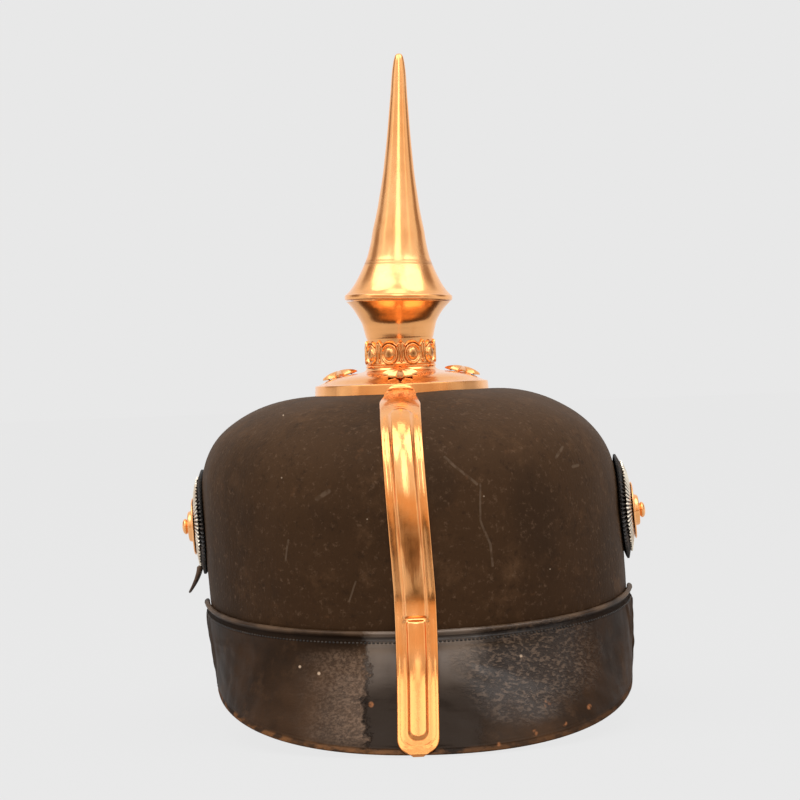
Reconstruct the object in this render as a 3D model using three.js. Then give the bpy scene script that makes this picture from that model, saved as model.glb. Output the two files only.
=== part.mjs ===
// A spiked parade helmet of leather and brass, standing on its two visors.
// Units are millimetres, +Z is up, the wearer looks along -Y and the wearer's left is +X.
// The helmet is built round the axis of its base plate, and the finished group is then moved so
// that the origin lies under the middle of its bounding box, on the surface that it rests on.
import * as THREE from "three";
import { mergeVertices } from "three/addons/utils/BufferGeometryUtils.js";

// ---------------------------------------------------------------- driving dimensions

const GAP = 0.3; // between two pieces that touch

// The crown is a rounded, square-shouldered dome on a nearly straight oval wall.
const CROWN = {
  halfWidth: 94,
  halfRear: 106,
  halfFront: 104,
  widestBack: 8, // how far behind the axis the crown is widest
  beltZ: 84, // where the dome meets the wall
  domeHeight: 62.8,
  power: 3.5, // of the dome's outline: 2 is an ellipse, more is squarer
  taper: 0.012, // share by which the wall draws in between belt and foot
  footZ: 41, // lowest point of the rim, at the nape
  earZ: 47, // the rim's height from the ears forward
  rimEase: 0.9, // how far round the rim has reached the ears' height, as 1 - cos
  wall: 2.2,
  steps: [40, 13],
};
// Old leather has settled to the wearer's right: each piece on the crown is sheared by this much.
const SETTLED = { fromZ: 145, slope: 0.0466 };

const REAR_VISOR = {
  topRear: 49, // height of the top edge at the nape
  topEnd: 58.5, // and at its two ends
  end: 1.5, // radians round from the nape
  band: 6.5, // sewn band that lies on the crown
  flareRear: 27,
  flareSide: -2, // the sides draw in a little
  rise: 17, // of the lower edge at the two sides
  risePower: 2.4,
  corner: 0.3, // radians of rounded corner at each end
  cornerShare: 0.45, // share of the depth that the corner takes
  wall: 1.8,
  steps: 28,
};
const FRONT_VISOR = {
  topZ: 55,
  end: 1.25,
  band: 6.5,
  flare: 40,
  flareEnd: 2,
  endDepth: 11, // how far the ends hang below the top edge
  level: 0.12, // share of each half of the lower edge that lies level
  wall: 1.8,
  steps: 26,
};
const TRIM = { width: 0.09, sheet: 0.8 }; // the width is a share of the visor's depth
const SPINE = {
  halfWidth: 8.8,
  sheet: 0.9,
  upstandTop: 151.9,
  archHalf: 4.4,
  lead: 5, // from the skirt to where the strip lies flat on the crown
  fold: { top: 2.2, foot: 0.7, out: 0.9 }, // of the strip's turn from the skirt to the crown
  overVisor: 3, // how far above the visor's top edge the strip leaves the crown
  crownSteps: 20,
  visorSteps: [0, 0.25, 0.5, 0.75, 0.95],
  across: [-1, -0.6, -0.45, 0, 0.45, 0.6, 1], // shares of the half width
  rib: [0, 0, 1.7, 2.3, 1.7, 0, 0], // the pressed rib's height at each of them
};

const BASE = { radius: 39.2, skirt: 4, ledge: 4.2, coneTop: 16.4, coneRise: 4.6, sheet: 1.1, corner: 0.6 };
const STUD = { count: 4, at: 26.6, points: 8, tip: 7.6, valley: 5.6, dome: 2.6, sheet: 0.8, stand: 0.45 };
const NECK = {
  top: 188.1,
  radius: 15,
  collar: 1.2, // how far the foot stands out from the drum
  collarHeight: 1,
  wall: 1,
  bore: 9.9,
  bridge: 1.4, // the plate across the neck that the spike's stem passes through
  bridgeZ: 180,
  mouth: [4.2, 185], // inside the flare: how far out from the drum, and at which height
  // The flare's outline: how far it stands out from the drum at each height.
  flare: [
    [0, 172.6],
    [1.3, 176.6],
    [2.3, 179.5],
    [5.5, 185],
    [8.7, 188.1],
  ],
};
const PEARLS = { count: 9, lowZ: 160.4, highZ: 171.6, radius: 15.7, proud: 0.9, wall: 0.4, rows: 4 };
const SPIKE = {
  topZ: 300.5,
  disc: 24.5,
  edge: 2.2,
  stem: 9.2,
  stemDepth: 9.4,
  cocked: 2.3, // degrees
  // The shaft's outline from its tip to its disc, as [radius, height].
  shaft: [
    [1.7, 300],
    [3.2, 291.2],
    [4.1, 277.5],
    [6.4, 253],
    [9.3, 231.2],
    [13.9, 209.3],
    [17, 201.2],
    [22, 192.4],
  ],
};

const COCKADE = { z: 91, radius: 24.2, sheet: 0.8, bore: 2.8, teeth: 18, toothDepth: 0.7 };
const RING = { inner: 9, outer: 17, sheet: 0.6 };
// The right cockade has worked loose and stands further off than the left.
const SIDES = [
  { name: "left", sign: 1, seat: 0.4, dome: 2.2 },
  { name: "right", sign: -1, seat: 1, dome: 3 },
];
const ROSETTE = {
  radius: 12.8,
  plate: 0.9,
  dish: 0.3, // how far the plate falls towards its rim
  stepFoot: 7.3,
  stepRadius: 6.7,
  step: 2,
  stepShoulder: 1.6,
  post: 2.3,
  // The knob's outline over the step, as [radius, height].
  knob: [
    [0, 4.2],
    [2.8, 3.4],
    [4, 1.9],
    [3.2, 0],
  ],
};

const STRAP = {
  sheet: 0.9,
  halfStart: 6,
  halfEnd: 5,
  frontZ: 68,
  fall: 1.25, // the strap has come down to the brow's height at 1 / fall of its length
  clear: 1.5, // from the cockade's edge to the strap's end
  buckleShare: 0.049, // half the buckle's share of a strap half
};
const SCALES = { count: 11, sheet: 0.7, halfStart: 10.5, halfEnd: 7.5, overlap: 1.5, curve: 0.011, bow: 0.35 };
const BUCKLE = { halfWidth: 5, halfHeight: 9, depth: 2.4, bar: 1.8, clear: 0.5 };
const TAB = { topZ: 73, tipZ: 60.5, halfWidth: 5.5, narrowing: 0.75, sheet: 1.4, rootLift: 2.6, tipLift: 8.6 };
const PLATE = { z: 108, points: 8, tip: 28, valley: 16, sheet: 1, boss: 3.4, bossFall: [1.6, 2.4], lift: 0.9, arc: 96 };

// Directions round the crown, counted from the nape towards the wearer's left.
const LEFT = Math.PI / 2;
const FRONT = Math.PI;

// ---------------------------------------------------------------- materials

const metal = (color, roughness) => new THREE.MeshStandardMaterial({ color, roughness, metalness: 1 });
const hide = (color, roughness) => new THREE.MeshStandardMaterial({ color, roughness, metalness: 0 });
const brass = () => metal(0xe0a060, 0.22);
const silver = () => metal(0xd8d4cc, 0.35);
const crownLeather = () => hide(0x3a2b21, 0.75);
const visorLeather = () => hide(0x241b16, 0.3);
const strapLeather = () => hide(0x4a3224, 0.7);
const blackLacquer = () => hide(0x15120f, 0.45);

// ---------------------------------------------------------------- solids

const clamp = (x, low, high) => Math.min(Math.max(x, low), high);
const mix = (a, b, t) => a + (b - a) * t;
const smooth = (t) => clamp(t, 0, 1) ** 2 * (3 - 2 * clamp(t, 0, 1));

// An indexed solid with its faces turned outwards.
function geometryOf(points, faces) {
  let volume = 0;
  for (const [a, b, c] of faces) volume += points[a].dot(points[b].clone().cross(points[c]));
  const turned = volume < 0 ? faces.map(([a, b, c]) => [a, c, b]) : faces;
  return new THREE.BufferGeometry().setFromPoints(points).setIndex(turned.flat());
}

// The closed solid between two sheets of points, each a function of u and v from 0 to 1.
// A round sheet closes on itself along u. A sheet with a pole has a single point at v = 0.
function sheetSolid(outer, inner, nu, nv, { round = false, pole = false } = {}) {
  const points = [];
  const faces = [];
  const columns = round ? nu : nu + 1;
  const firstRow = pole ? 1 : 0;
  const [front, back] = [outer, inner].map((sheet) => {
    const start = points.length;
    if (pole) points.push(sheet(0, 0));
    for (let j = firstRow; j <= nv; j++)
      for (let i = 0; i < columns; i++) points.push(sheet(i / nu, j / nv));
    return (i, j) => (pole && j === 0 ? start : start + firstRow + (j - firstRow) * columns + (i % columns));
  });
  const quad = (a, b, c, d) => {
    if (a !== b && b !== c && a !== c) faces.push([a, b, c]);
    if (a !== c && c !== d && a !== d) faces.push([a, c, d]);
  };
  for (let i = 0; i < nu; i++)
    for (let j = 0; j < nv; j++) {
      quad(front(i, j), front(i, j + 1), front(i + 1, j + 1), front(i + 1, j));
      quad(back(i + 1, j), back(i + 1, j + 1), back(i, j + 1), back(i, j));
    }
  for (let i = 0; i < nu; i++) {
    quad(front(i, nv), back(i, nv), back(i + 1, nv), front(i + 1, nv));
    if (!pole) quad(front(i + 1, 0), back(i + 1, 0), back(i, 0), front(i, 0));
  }
  for (let j = 0; j < nv && !round; j++) {
    quad(front(0, j), back(0, j), back(0, j + 1), front(0, j + 1));
    quad(front(nu, j + 1), back(nu, j + 1), back(nu, j), front(nu, j));
  }
  return geometryOf(points, faces);
}

// A turned solid on the Z axis, from a closed outline of [radius, height] pairs.
function turned(outline, segments) {
  const closed = [...outline, outline[0]].map(([r, z]) => new THREE.Vector2(r, z));
  const lathe = new THREE.LatheGeometry(closed, segments).rotateX(Math.PI / 2);
  lathe.deleteAttribute("normal");
  lathe.deleteAttribute("uv");
  const merged = mergeVertices(lathe, 1e-4);
  const position = merged.getAttribute("position");
  const points = Array.from({ length: position.count }, (_, i) =>
    new THREE.Vector3().fromBufferAttribute(position, i),
  );
  const faces = [];
  for (let i = 0; i < merged.index.count; i += 3) {
    const face = [0, 1, 2].map((k) => merged.index.getX(i + k));
    if (new Set(face).size === 3) faces.push(face);
  }
  return geometryOf(points, faces);
}

// Points on a smooth curve through a few [radius, height] pairs.
function smoothOutline(pairs, steps) {
  const curve = new THREE.SplineCurve(pairs.map(([r, z]) => new THREE.Vector2(r, z)));
  return curve.getPoints(steps).map((point) => [point.x, point.y]);
}

// A sheet lifted along its own normal.
function lifted(sheet, lift) {
  const step = 1e-3;
  return (u, v) => {
    const across = sheet(u + step, v).sub(sheet(u - step, v));
    const along = sheet(u, v + step).sub(sheet(u, v - step));
    return sheet(u, v).addScaledVector(across.cross(along).normalize(), lift);
  };
}

// The radius of a star's outline, which has a tip at u = 0.
function starRadius(u, { points, tip, valley }) {
  const turn = (u * points) % 1;
  return mix(tip, valley, 1 - Math.abs(2 * turn - 1));
}

// ---------------------------------------------------------------- the crown's surface

// w runs down a meridian: 0 at the top, 1 at the belt, 2 at the foot.
function crownPoint(phi, w) {
  const angle = (Math.max(1 - w, 0) * Math.PI) / 2;
  const across = Math.max(Math.cos(angle), 0);
  const reach = (across ** CROWN.power + Math.sin(angle) ** CROWN.power) ** (-1 / CROWN.power);
  const below = Math.max(w - 1, 0);
  const share = across * reach * (1 - CROWN.taper * below ** 2);
  const z = CROWN.beltZ + CROWN.domeHeight * Math.sin(angle) * reach - below * (CROWN.beltZ - CROWN.footZ);
  const half = Math.cos(phi) > 0 ? CROWN.halfRear : CROWN.halfFront;
  const y = half * Math.cos(phi) + CROWN.widestBack * Math.sin(phi) ** 2;
  return new THREE.Vector3(share * CROWN.halfWidth * Math.sin(phi), share * y, z);
}

// The meridian's w at a height.
function downTo(z) {
  if (z <= CROWN.beltZ) return 1 + (CROWN.beltZ - z) / (CROWN.beltZ - CROWN.footZ);
  const up = (z - CROWN.beltZ) / CROWN.domeHeight;
  return 1 - Math.atan2(up, (1 - up ** CROWN.power) ** (1 / CROWN.power)) / (Math.PI / 2);
}

function onCrown(phi, w, lift) {
  if (w < 1e-6) return crownPoint(phi, 0).setZ(CROWN.beltZ + CROWN.domeHeight + lift);
  return lifted(crownPoint, lift)(phi, w);
}

// The base plate's foot, just above the top of the crown.
const baseZ = CROWN.beltZ + CROWN.domeHeight + GAP;

// The horizontal direction that points straight out of the crown's wall.
function outward(phi) {
  const step = 1e-3;
  const along = crownPoint(phi + step, 1).sub(crownPoint(phi - step, 1));
  return new THREE.Vector3(along.y, -along.x, 0).normalize().negate();
}

function crownShell() {
  const rimZ = (phi) => mix(CROWN.footZ, CROWN.earZ, smooth((1 - Math.cos(phi)) / CROWN.rimEase));
  const sheet = (lift) => (u, v) => {
    const phi = u * 2 * Math.PI;
    return onCrown(phi, v * downTo(rimZ(phi)), lift);
  };
  return sheetSolid(sheet(0), sheet(-CROWN.wall), ...CROWN.steps, { round: true, pole: true });
}

// ---------------------------------------------------------------- visors

// A visor hangs from a sewn band on the crown, which takes its first row, and flares out below it.
const VISOR_ROWS = 4;
function visorSheet({ phiAt, topAt, lowAt, flareAt, band }, lift) {
  return (u, v) => {
    const phi = phiAt(u);
    const seam = topAt(phi) - band;
    const onBand = Math.min(v * VISOR_ROWS, 1);
    const hanging = Math.max(0, (v * VISOR_ROWS - 1) / (VISOR_ROWS - 1));
    const z = mix(seam + band * (1 - onBand), lowAt(phi), hanging);
    const point = onCrown(phi, downTo(Math.max(z, seam)), lift).setZ(z);
    return point.addScaledVector(outward(phi), flareAt(phi) * hanging);
  };
}

const rearTop = (phi) => mix(REAR_VISOR.topRear, REAR_VISOR.topEnd, (phi / REAR_VISOR.end) ** 2);
const rearShape = {
  band: REAR_VISOR.band,
  phiAt: (u) => mix(-REAR_VISOR.end, REAR_VISOR.end, u),
  topAt: rearTop,
  flareAt: (phi) => mix(REAR_VISOR.flareRear, REAR_VISOR.flareSide, Math.sin(phi) ** 2),
  lowAt: (phi) => {
    const low = SPINE.sheet + GAP + REAR_VISOR.rise * Math.abs(Math.sin(phi)) ** REAR_VISOR.risePower;
    const into = clamp((Math.abs(phi) - REAR_VISOR.end) / REAR_VISOR.corner + 1, 0, 1);
    return mix(low, rearTop(phi), REAR_VISOR.cornerShare * (1 - Math.sqrt(1 - into ** 2)));
  },
};
const rearFace = (lift) => visorSheet(rearShape, lift);
const rearVisor = () => sheetSolid(rearFace(GAP + REAR_VISOR.wall), rearFace(GAP), REAR_VISOR.steps, VISOR_ROWS);

// How much of the front visor's depth hangs at this direction: 1 over the level middle, 0 at the ends.
function browShare(phi) {
  const side = clamp(Math.abs(phi - FRONT) / FRONT_VISOR.end, 0, 1);
  const t = Math.max(0, side - FRONT_VISOR.level) / (1 - FRONT_VISOR.level);
  return Math.cos((t ** 1.5 * Math.PI) / 2);
}
const browLow = (phi) => mix(FRONT_VISOR.topZ - FRONT_VISOR.endDepth, TRIM.sheet + GAP, browShare(phi));
const browShape = {
  band: FRONT_VISOR.band,
  phiAt: (u) => FRONT + mix(-FRONT_VISOR.end, FRONT_VISOR.end, u),
  topAt: () => FRONT_VISOR.topZ,
  flareAt: (phi) => mix(FRONT_VISOR.flareEnd, FRONT_VISOR.flare, browShare(phi)),
  lowAt: browLow,
};
const browFace = (lift) => visorSheet(browShape, lift);
const frontVisor = () => sheetSolid(browFace(GAP + FRONT_VISOR.wall), browFace(GAP), FRONT_VISOR.steps, VISOR_ROWS);

// A folded brass edge: down the visor's outer face, level under its edge, and up the inner face.
function frontTrim() {
  const section = (spare) => {
    const outerFace = browFace(GAP + FRONT_VISOR.wall + GAP + spare);
    const innerFace = browFace(-spare);
    return (u, v) => {
      const k = Math.round(v * 3);
      const face = k < 2 ? outerFace : innerFace;
      if (k === 0 || k === 3) return face(u, 1 - TRIM.width);
      return face(u, 1).setZ(browLow(browShape.phiAt(u)) - GAP - spare);
    };
  };
  return sheetSolid(section(TRIM.sheet), section(0), FRONT_VISOR.steps, 3);
}

// ---------------------------------------------------------------- rear spine

// Pairs of [y, z] down the back: up the base plate's skirt, over the crown and the visor, and
// under the visor's edge. Each station has a point on the seat and one on the strip's outer face.
function spineStations() {
  const skirt = BASE.radius + GAP;
  const station = (y, z, normalY, normalZ) => ({
    seat: new THREE.Vector2(y, z),
    normal: new THREE.Vector2(normalY, normalZ),
  });
  const stations = [
    station(skirt, SPINE.upstandTop, 1, 0),
    station(skirt, baseZ + SPINE.fold.top, 1, 0.25),
    station(skirt + SPINE.fold.out, baseZ + SPINE.fold.foot, 0.8, 0.8),
  ];
  const startW = downTo(crownTopAt(skirt + SPINE.lead));
  const visorW = downTo(REAR_VISOR.topRear + SPINE.overVisor);
  for (let i = 0; i <= SPINE.crownSteps; i++) {
    const w = mix(startW, visorW, i / SPINE.crownSteps);
    const seat = onCrown(0, w, GAP);
    const normal = onCrown(0, w, 1).sub(crownPoint(0, w));
    stations.push(station(seat.y, seat.z, normal.y, normal.z));
  }
  const face = rearFace(GAP + REAR_VISOR.wall + GAP);
  for (const v of SPINE.visorSteps) {
    const seat = face(0.5, v);
    stations.push(station(seat.y, seat.z, 1, v < 0.25 ? 0.3 : 0));
  }
  const edge = face(0.5, 1);
  const inside = rearFace(GAP)(0.5, 1);
  stations.push(station(edge.y, SPINE.sheet, 1, -1), station(inside.y, SPINE.sheet, 0, -1));
  return stations;
}

// The crown's height over the median line at a distance behind the axis.
function crownTopAt(y) {
  return CROWN.beltZ + CROWN.domeHeight * (1 - (y / CROWN.halfRear) ** CROWN.power) ** (1 / CROWN.power);
}

function rearSpine() {
  const stations = spineStations();
  const last = stations.length - 1;
  const { across, rib } = SPINE;
  const sheet = (outer) => (u, v) => {
    const row = Math.round(v * last);
    const column = Math.round(u * (across.length - 1));
    const { seat, normal } = stations[row];
    const half = row === 0 ? SPINE.archHalf : SPINE.halfWidth;
    const hooked = row > last - 2;
    const raised = hooked || row < 2 ? 0 : rib[column];
    const lift = outer ? SPINE.sheet + raised : 0;
    return new THREE.Vector3(across[column] * half, seat.x + normal.x * lift, seat.y + normal.y * lift);
  };
  return sheetSolid(sheet(true), sheet(false), across.length - 1, last);
}

// ---------------------------------------------------------------- base plate, neck and spike

const ledgeZ = baseZ + BASE.skirt;
const coneFoot = BASE.radius - BASE.ledge;

function spikeBase() {
  const { radius, coneTop, coneRise, sheet, corner } = BASE;
  const outer = [
    [radius, baseZ],
    [radius, ledgeZ - corner],
    [radius - corner, ledgeZ],
    [coneFoot, ledgeZ],
    [coneTop, ledgeZ + coneRise],
    [0, ledgeZ + coneRise],
  ];
  const inner = [
    [0, ledgeZ + coneRise - sheet],
    [coneTop, ledgeZ + coneRise - sheet],
    [coneFoot, ledgeZ - sheet],
    [radius - sheet, ledgeZ - sheet],
    [radius - sheet, baseZ],
  ];
  return turned([...outer, ...inner], 40);
}

function baseStud(index) {
  const slope = Math.atan2(BASE.coneRise, coneFoot - BASE.coneTop);
  const sheet = (lift) => (u, v) => {
    const radius = v * starRadius(u, STUD);
    const angle = u * 2 * Math.PI;
    const height = STUD.dome * (1 - v ** 2) + lift;
    return new THREE.Vector3(radius * Math.cos(angle), radius * Math.sin(angle), height);
  };
  const steps = STUD.points * 2;
  const geometry = sheetSolid(sheet(STUD.sheet), sheet(0), steps, 2, { round: true, pole: true });
  const up = ledgeZ + (BASE.coneRise * (coneFoot - STUD.at)) / (coneFoot - BASE.coneTop);
  return geometry
    .rotateY(slope)
    .translate(STUD.at, 0, up + STUD.stand)
    .rotateZ((index * 2 * Math.PI) / STUD.count);
}

function spikeNeck() {
  const foot = ledgeZ + BASE.coneRise + GAP;
  const { top, radius, collar, collarHeight, wall, bore, bridge, bridgeZ, mouth, flare } = NECK;
  const lip = radius + flare.at(-1)[0];
  const outline = [
    [radius + collar, foot],
    [radius + collar, foot + collarHeight],
    [radius, foot + 2 * collarHeight],
    ...smoothOutline(flare.map(([out, z]) => [radius + out, z]), 6),
    [lip - wall, top],
    [radius + mouth[0], mouth[1]],
    [radius + wall / 2, bridgeZ + bridge],
    [bore, bridgeZ + bridge],
    [bore, bridgeZ],
    [radius - wall, bridgeZ - 2 * wall],
    [radius - wall, foot],
  ];
  return turned(outline, 32);
}

function pearlRing() {
  const { count, lowZ, highZ, radius, proud, wall, rows } = PEARLS;
  const outer = (u, v) => {
    const z = mix(lowZ, highZ, v);
    const pearl = (Math.cos(u * count * 2 * Math.PI) + 1) / 2;
    const r = radius + proud * Math.sin(v * Math.PI) * pearl;
    return new THREE.Vector3(r * Math.sin(u * 2 * Math.PI), r * Math.cos(u * 2 * Math.PI), z);
  };
  const inner = (u, v) => {
    const r = radius - wall;
    return new THREE.Vector3(r * Math.sin(u * 2 * Math.PI), r * Math.cos(u * 2 * Math.PI), mix(lowZ, highZ, v));
  };
  return sheetSolid(outer, inner, count * rows, rows, { round: true });
}

// The spike and its disc, cocked on the neck so that they touch on the wearer's right.
function spike() {
  const underside = NECK.top + GAP;
  const { topZ, shaft, disc, edge, stem, stemDepth } = SPIKE;
  const outline = [
    [0, topZ],
    ...smoothOutline(shaft, 14),
    [disc, underside + edge],
    [disc, underside],
    [stem, underside],
    [stem, underside - stemDepth],
    [0, underside - stemDepth],
  ];
  return turned(outline, 28)
    .translate(disc, 0, -underside)
    .rotateY(THREE.MathUtils.degToRad(-SPIKE.cocked))
    .translate(-disc, 0, underside);
}

// ---------------------------------------------------------------- cockades

// How far a cockade's face stands out from the crown at a distance from its middle.
const cockadeFace = ({ seat, dome }, r) => seat + dome * (1 - (r / COCKADE.radius) ** 2) + COCKADE.sheet;

const TOOTH_STEPS = 2 * COCKADE.teeth;
function ringSheet(side, innerRadius, outerRadius, lift) {
  return (u, v) => {
    const tooth = v === 1 && Math.round(u * TOOTH_STEPS) % 2 ? COCKADE.toothDepth : 0;
    const r = mix(innerRadius, outerRadius, v) - tooth;
    const angle = u * 2 * Math.PI;
    return new THREE.Vector3(r * Math.cos(angle), r * Math.sin(angle), cockadeFace(side, r) + lift);
  };
}

function cockadeDisc(side) {
  const face = (lift) => ringSheet(side, COCKADE.bore, COCKADE.radius, lift);
  return sheetSolid(face(0), face(-COCKADE.sheet), TOOTH_STEPS, 2, { round: true });
}

function cockadeRing(side) {
  const face = (lift) => ringSheet(side, RING.inner, RING.outer, GAP + lift);
  return sheetSolid(face(RING.sheet), face(0), TOOTH_STEPS, 1, { round: true });
}

// A stepped brass boss with its knob, on a plain post that passes through the cockade.
function rosette(side) {
  const { radius, plate, dish, stepFoot, stepRadius, step, stepShoulder, post, knob } = ROSETTE;
  const back = cockadeFace(side, RING.inner) + GAP + RING.sheet + GAP;
  const front = back + plate;
  const outline = [
    ...knob.map(([r, z]) => [r, front + step + z]),
    [stepRadius, front + stepShoulder],
    [stepFoot, front],
    [radius, front - dish],
    [radius, back],
    [post, back],
    [post, GAP],
    [0, GAP],
  ];
  return turned(outline, 20);
}

// Puts a piece made along +Z on the crown's side.
function onSide(geometry, side) {
  return geometry
    .rotateY((side.sign * Math.PI) / 2)
    .translate(side.sign * CROWN.halfWidth, CROWN.widestBack, COCKADE.z);
}

// A worn strap end that hangs out below the left cockade.
function strapTab() {
  const sheet = (lift) => (u, v) => {
    const z = mix(TAB.topZ, TAB.tipZ, v);
    const out = mix(TAB.rootLift, TAB.tipLift, v ** 2) + lift;
    const half = TAB.halfWidth * (1 - TAB.narrowing * v ** 2);
    return new THREE.Vector3(CROWN.halfWidth + out, CROWN.widestBack + mix(-half, half, u), z);
  };
  return sheetSolid(sheet(TAB.sheet), sheet(0), 1, 5);
}

// ---------------------------------------------------------------- chin strap and scales

// s runs from 0, beside the cockade, to 1, at the middle of the brow.
const strapStart = Math.asin((COCKADE.radius + STRAP.clear) / CROWN.halfFront);
const strapPhi = (sign, s) => sign * mix(LEFT + strapStart, FRONT, s);
const strapZ = (s) => mix(COCKADE.z, STRAP.frontZ, smooth(s * STRAP.fall));

function strapHalf(sign) {
  const endS = 1 - STRAP.buckleShare;
  const sheet = (lift) => (u, v) => {
    const s = u * endS;
    const half = mix(STRAP.halfStart, STRAP.halfEnd, s);
    const z = strapZ(s) + mix(-half, half, v);
    return onCrown(strapPhi(sign, s), downTo(z), GAP + lift);
  };
  return sheetSolid(sheet(STRAP.sheet), sheet(0), 16, 2);
}

// One brass scale: bowed across, with a round free end that lies over the next scale's root.
function strapScale(sign, index) {
  const pitch = (1 - 1.3 * STRAP.buckleShare) / (SCALES.count + SCALES.overlap - 1);
  const size = mix(SCALES.halfStart, SCALES.halfEnd, index / (SCALES.count - 1));
  const climb = SCALES.sheet + GAP;
  const sheet = (lift) => (u, v) => {
    const across = mix(-1, 1, v);
    const round = SCALES.bow * across ** 2;
    const local = u * (SCALES.overlap - round);
    const s = (index + local) * pitch;
    const half = across * size;
    const crowned = SCALES.curve * (STRAP.halfStart ** 2 - half ** 2);
    const stand = GAP + STRAP.sheet + GAP + climb * local + crowned;
    return onCrown(strapPhi(sign, s), downTo(strapZ(s) + half), stand + lift);
  };
  return sheetSolid(sheet(SCALES.sheet), sheet(0), 2, 4);
}

// A plain frame at the middle of the brow that joins the two halves of the strap.
function strapBuckle() {
  const { halfWidth, halfHeight, depth, bar } = BUCKLE;
  const outline = new THREE.Shape();
  outline.moveTo(-halfWidth, -halfHeight);
  outline.lineTo(halfWidth, -halfHeight);
  outline.lineTo(halfWidth, halfHeight);
  outline.lineTo(-halfWidth, halfHeight);
  outline.closePath();
  const hole = new THREE.Path();
  hole.moveTo(-halfWidth + bar, -halfHeight + bar);
  hole.lineTo(-halfWidth + bar, halfHeight - bar);
  hole.lineTo(halfWidth - bar, halfHeight - bar);
  hole.lineTo(halfWidth - bar, -halfHeight + bar);
  hole.closePath();
  outline.holes.push(hole);
  return new THREE.ExtrudeGeometry(outline, { depth, bevelEnabled: false })
    .rotateX(Math.PI / 2)
    .translate(0, -CROWN.halfFront - BUCKLE.clear, STRAP.frontZ);
}

// A plain rayed plate over the brow, with a raised round boss.
function frontPlate() {
  const sheet = (sheetLift, boss) => (u, v) => {
    const r = v * starRadius(u, PLATE);
    const angle = u * 2 * Math.PI;
    const w = downTo(PLATE.z + r * Math.cos(angle));
    const lift = PLATE.lift + sheetLift + boss * smooth(PLATE.bossFall[0] - PLATE.bossFall[1] * v);
    return onCrown(FRONT + (r * Math.sin(angle)) / PLATE.arc, w, lift);
  };
  const outer = sheet(PLATE.sheet, PLATE.boss);
  return sheetSolid(outer, sheet(0, 0), PLATE.points * 4, 5, { round: true, pole: true });
}

// ---------------------------------------------------------------- the helmet

// Shears a piece with the settled crown, a little further at each step down.
function settled(geometry) {
  const position = geometry.getAttribute("position");
  for (let i = 0; i < position.count; i++) {
    const drop = Math.max(0, SETTLED.fromZ - position.getZ(i));
    position.setX(i, position.getX(i) - SETTLED.slope * drop);
  }
  return geometry;
}

const helmet = new THREE.Group();
function add(name, geometry, material) {
  const mesh = new THREE.Mesh(settled(geometry), material);
  mesh.name = name;
  helmet.add(mesh);
}

add("skull", crownShell(), crownLeather());
add("rear_visor", rearVisor(), visorLeather());
add("front_visor", frontVisor(), visorLeather());
add("front_visor_trim", frontTrim(), brass());
add("rear_spine", rearSpine(), brass());
add("spike_base", spikeBase(), brass());
for (let i = 0; i < STUD.count; i++) add(`base_stud_${i + 1}`, baseStud(i), brass());
add("spike_neck", spikeNeck(), brass());
add("pearl_ring", pearlRing(), brass());
add("spike", spike(), brass());
for (const side of SIDES) {
  add(`cockade_disc_${side.name}`, onSide(cockadeDisc(side), side), blackLacquer());
  add(`cockade_ring_${side.name}`, onSide(cockadeRing(side), side), silver());
  add(`rosette_${side.name}`, onSide(rosette(side), side), brass());
  add(`chin_strap_${side.name}`, strapHalf(side.sign), strapLeather());
  for (let i = 0; i < SCALES.count; i++)
    add(`strap_scale_${side.name}_${i + 1}`, strapScale(side.sign, i), brass());
}
add("strap_buckle", strapBuckle(), brass());
add("strap_tab_left", strapTab(), strapLeather());
add("front_plate", frontPlate(), brass());

const bounds = new THREE.Box3().setFromObject(helmet);
const middle = bounds.getCenter(new THREE.Vector3());
helmet.position.set(-middle.x, -middle.y, -bounds.min.z);

export default helmet;
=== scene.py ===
"""A spiked parade helmet of leather and brass, seen from behind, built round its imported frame.

Every surface is worked out with numpy in millimetres round the base plate's axis, and placed in the
frame in metres. The wearer looks along -Y, and the wearer's left is +X.
"""

import logging
import math
from dataclasses import dataclass
from enum import Enum
from functools import reduce
from typing import Callable, Sequence

import bmesh
import bpy
import numpy as np
from mathutils import Matrix, Vector


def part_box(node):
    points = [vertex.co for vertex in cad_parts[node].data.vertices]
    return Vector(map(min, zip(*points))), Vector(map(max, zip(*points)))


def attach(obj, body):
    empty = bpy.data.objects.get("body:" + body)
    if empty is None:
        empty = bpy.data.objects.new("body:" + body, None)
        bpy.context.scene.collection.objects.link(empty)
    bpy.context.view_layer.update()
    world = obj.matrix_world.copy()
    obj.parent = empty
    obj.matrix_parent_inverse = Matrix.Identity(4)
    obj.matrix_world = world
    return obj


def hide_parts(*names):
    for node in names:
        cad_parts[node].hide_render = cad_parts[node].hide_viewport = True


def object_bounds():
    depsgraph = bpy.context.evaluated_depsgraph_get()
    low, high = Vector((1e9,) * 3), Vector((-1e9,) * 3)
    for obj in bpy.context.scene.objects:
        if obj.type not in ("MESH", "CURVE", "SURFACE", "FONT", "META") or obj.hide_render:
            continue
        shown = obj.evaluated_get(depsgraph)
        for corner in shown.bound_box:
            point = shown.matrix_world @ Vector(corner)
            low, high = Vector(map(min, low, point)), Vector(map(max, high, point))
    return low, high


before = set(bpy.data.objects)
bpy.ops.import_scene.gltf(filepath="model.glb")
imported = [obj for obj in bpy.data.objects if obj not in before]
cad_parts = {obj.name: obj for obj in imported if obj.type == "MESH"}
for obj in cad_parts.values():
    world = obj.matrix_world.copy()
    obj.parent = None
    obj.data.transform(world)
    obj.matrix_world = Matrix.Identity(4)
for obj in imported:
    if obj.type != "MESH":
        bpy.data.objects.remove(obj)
CAD_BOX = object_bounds()
LOG = logging.getLogger("helmet")

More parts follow.
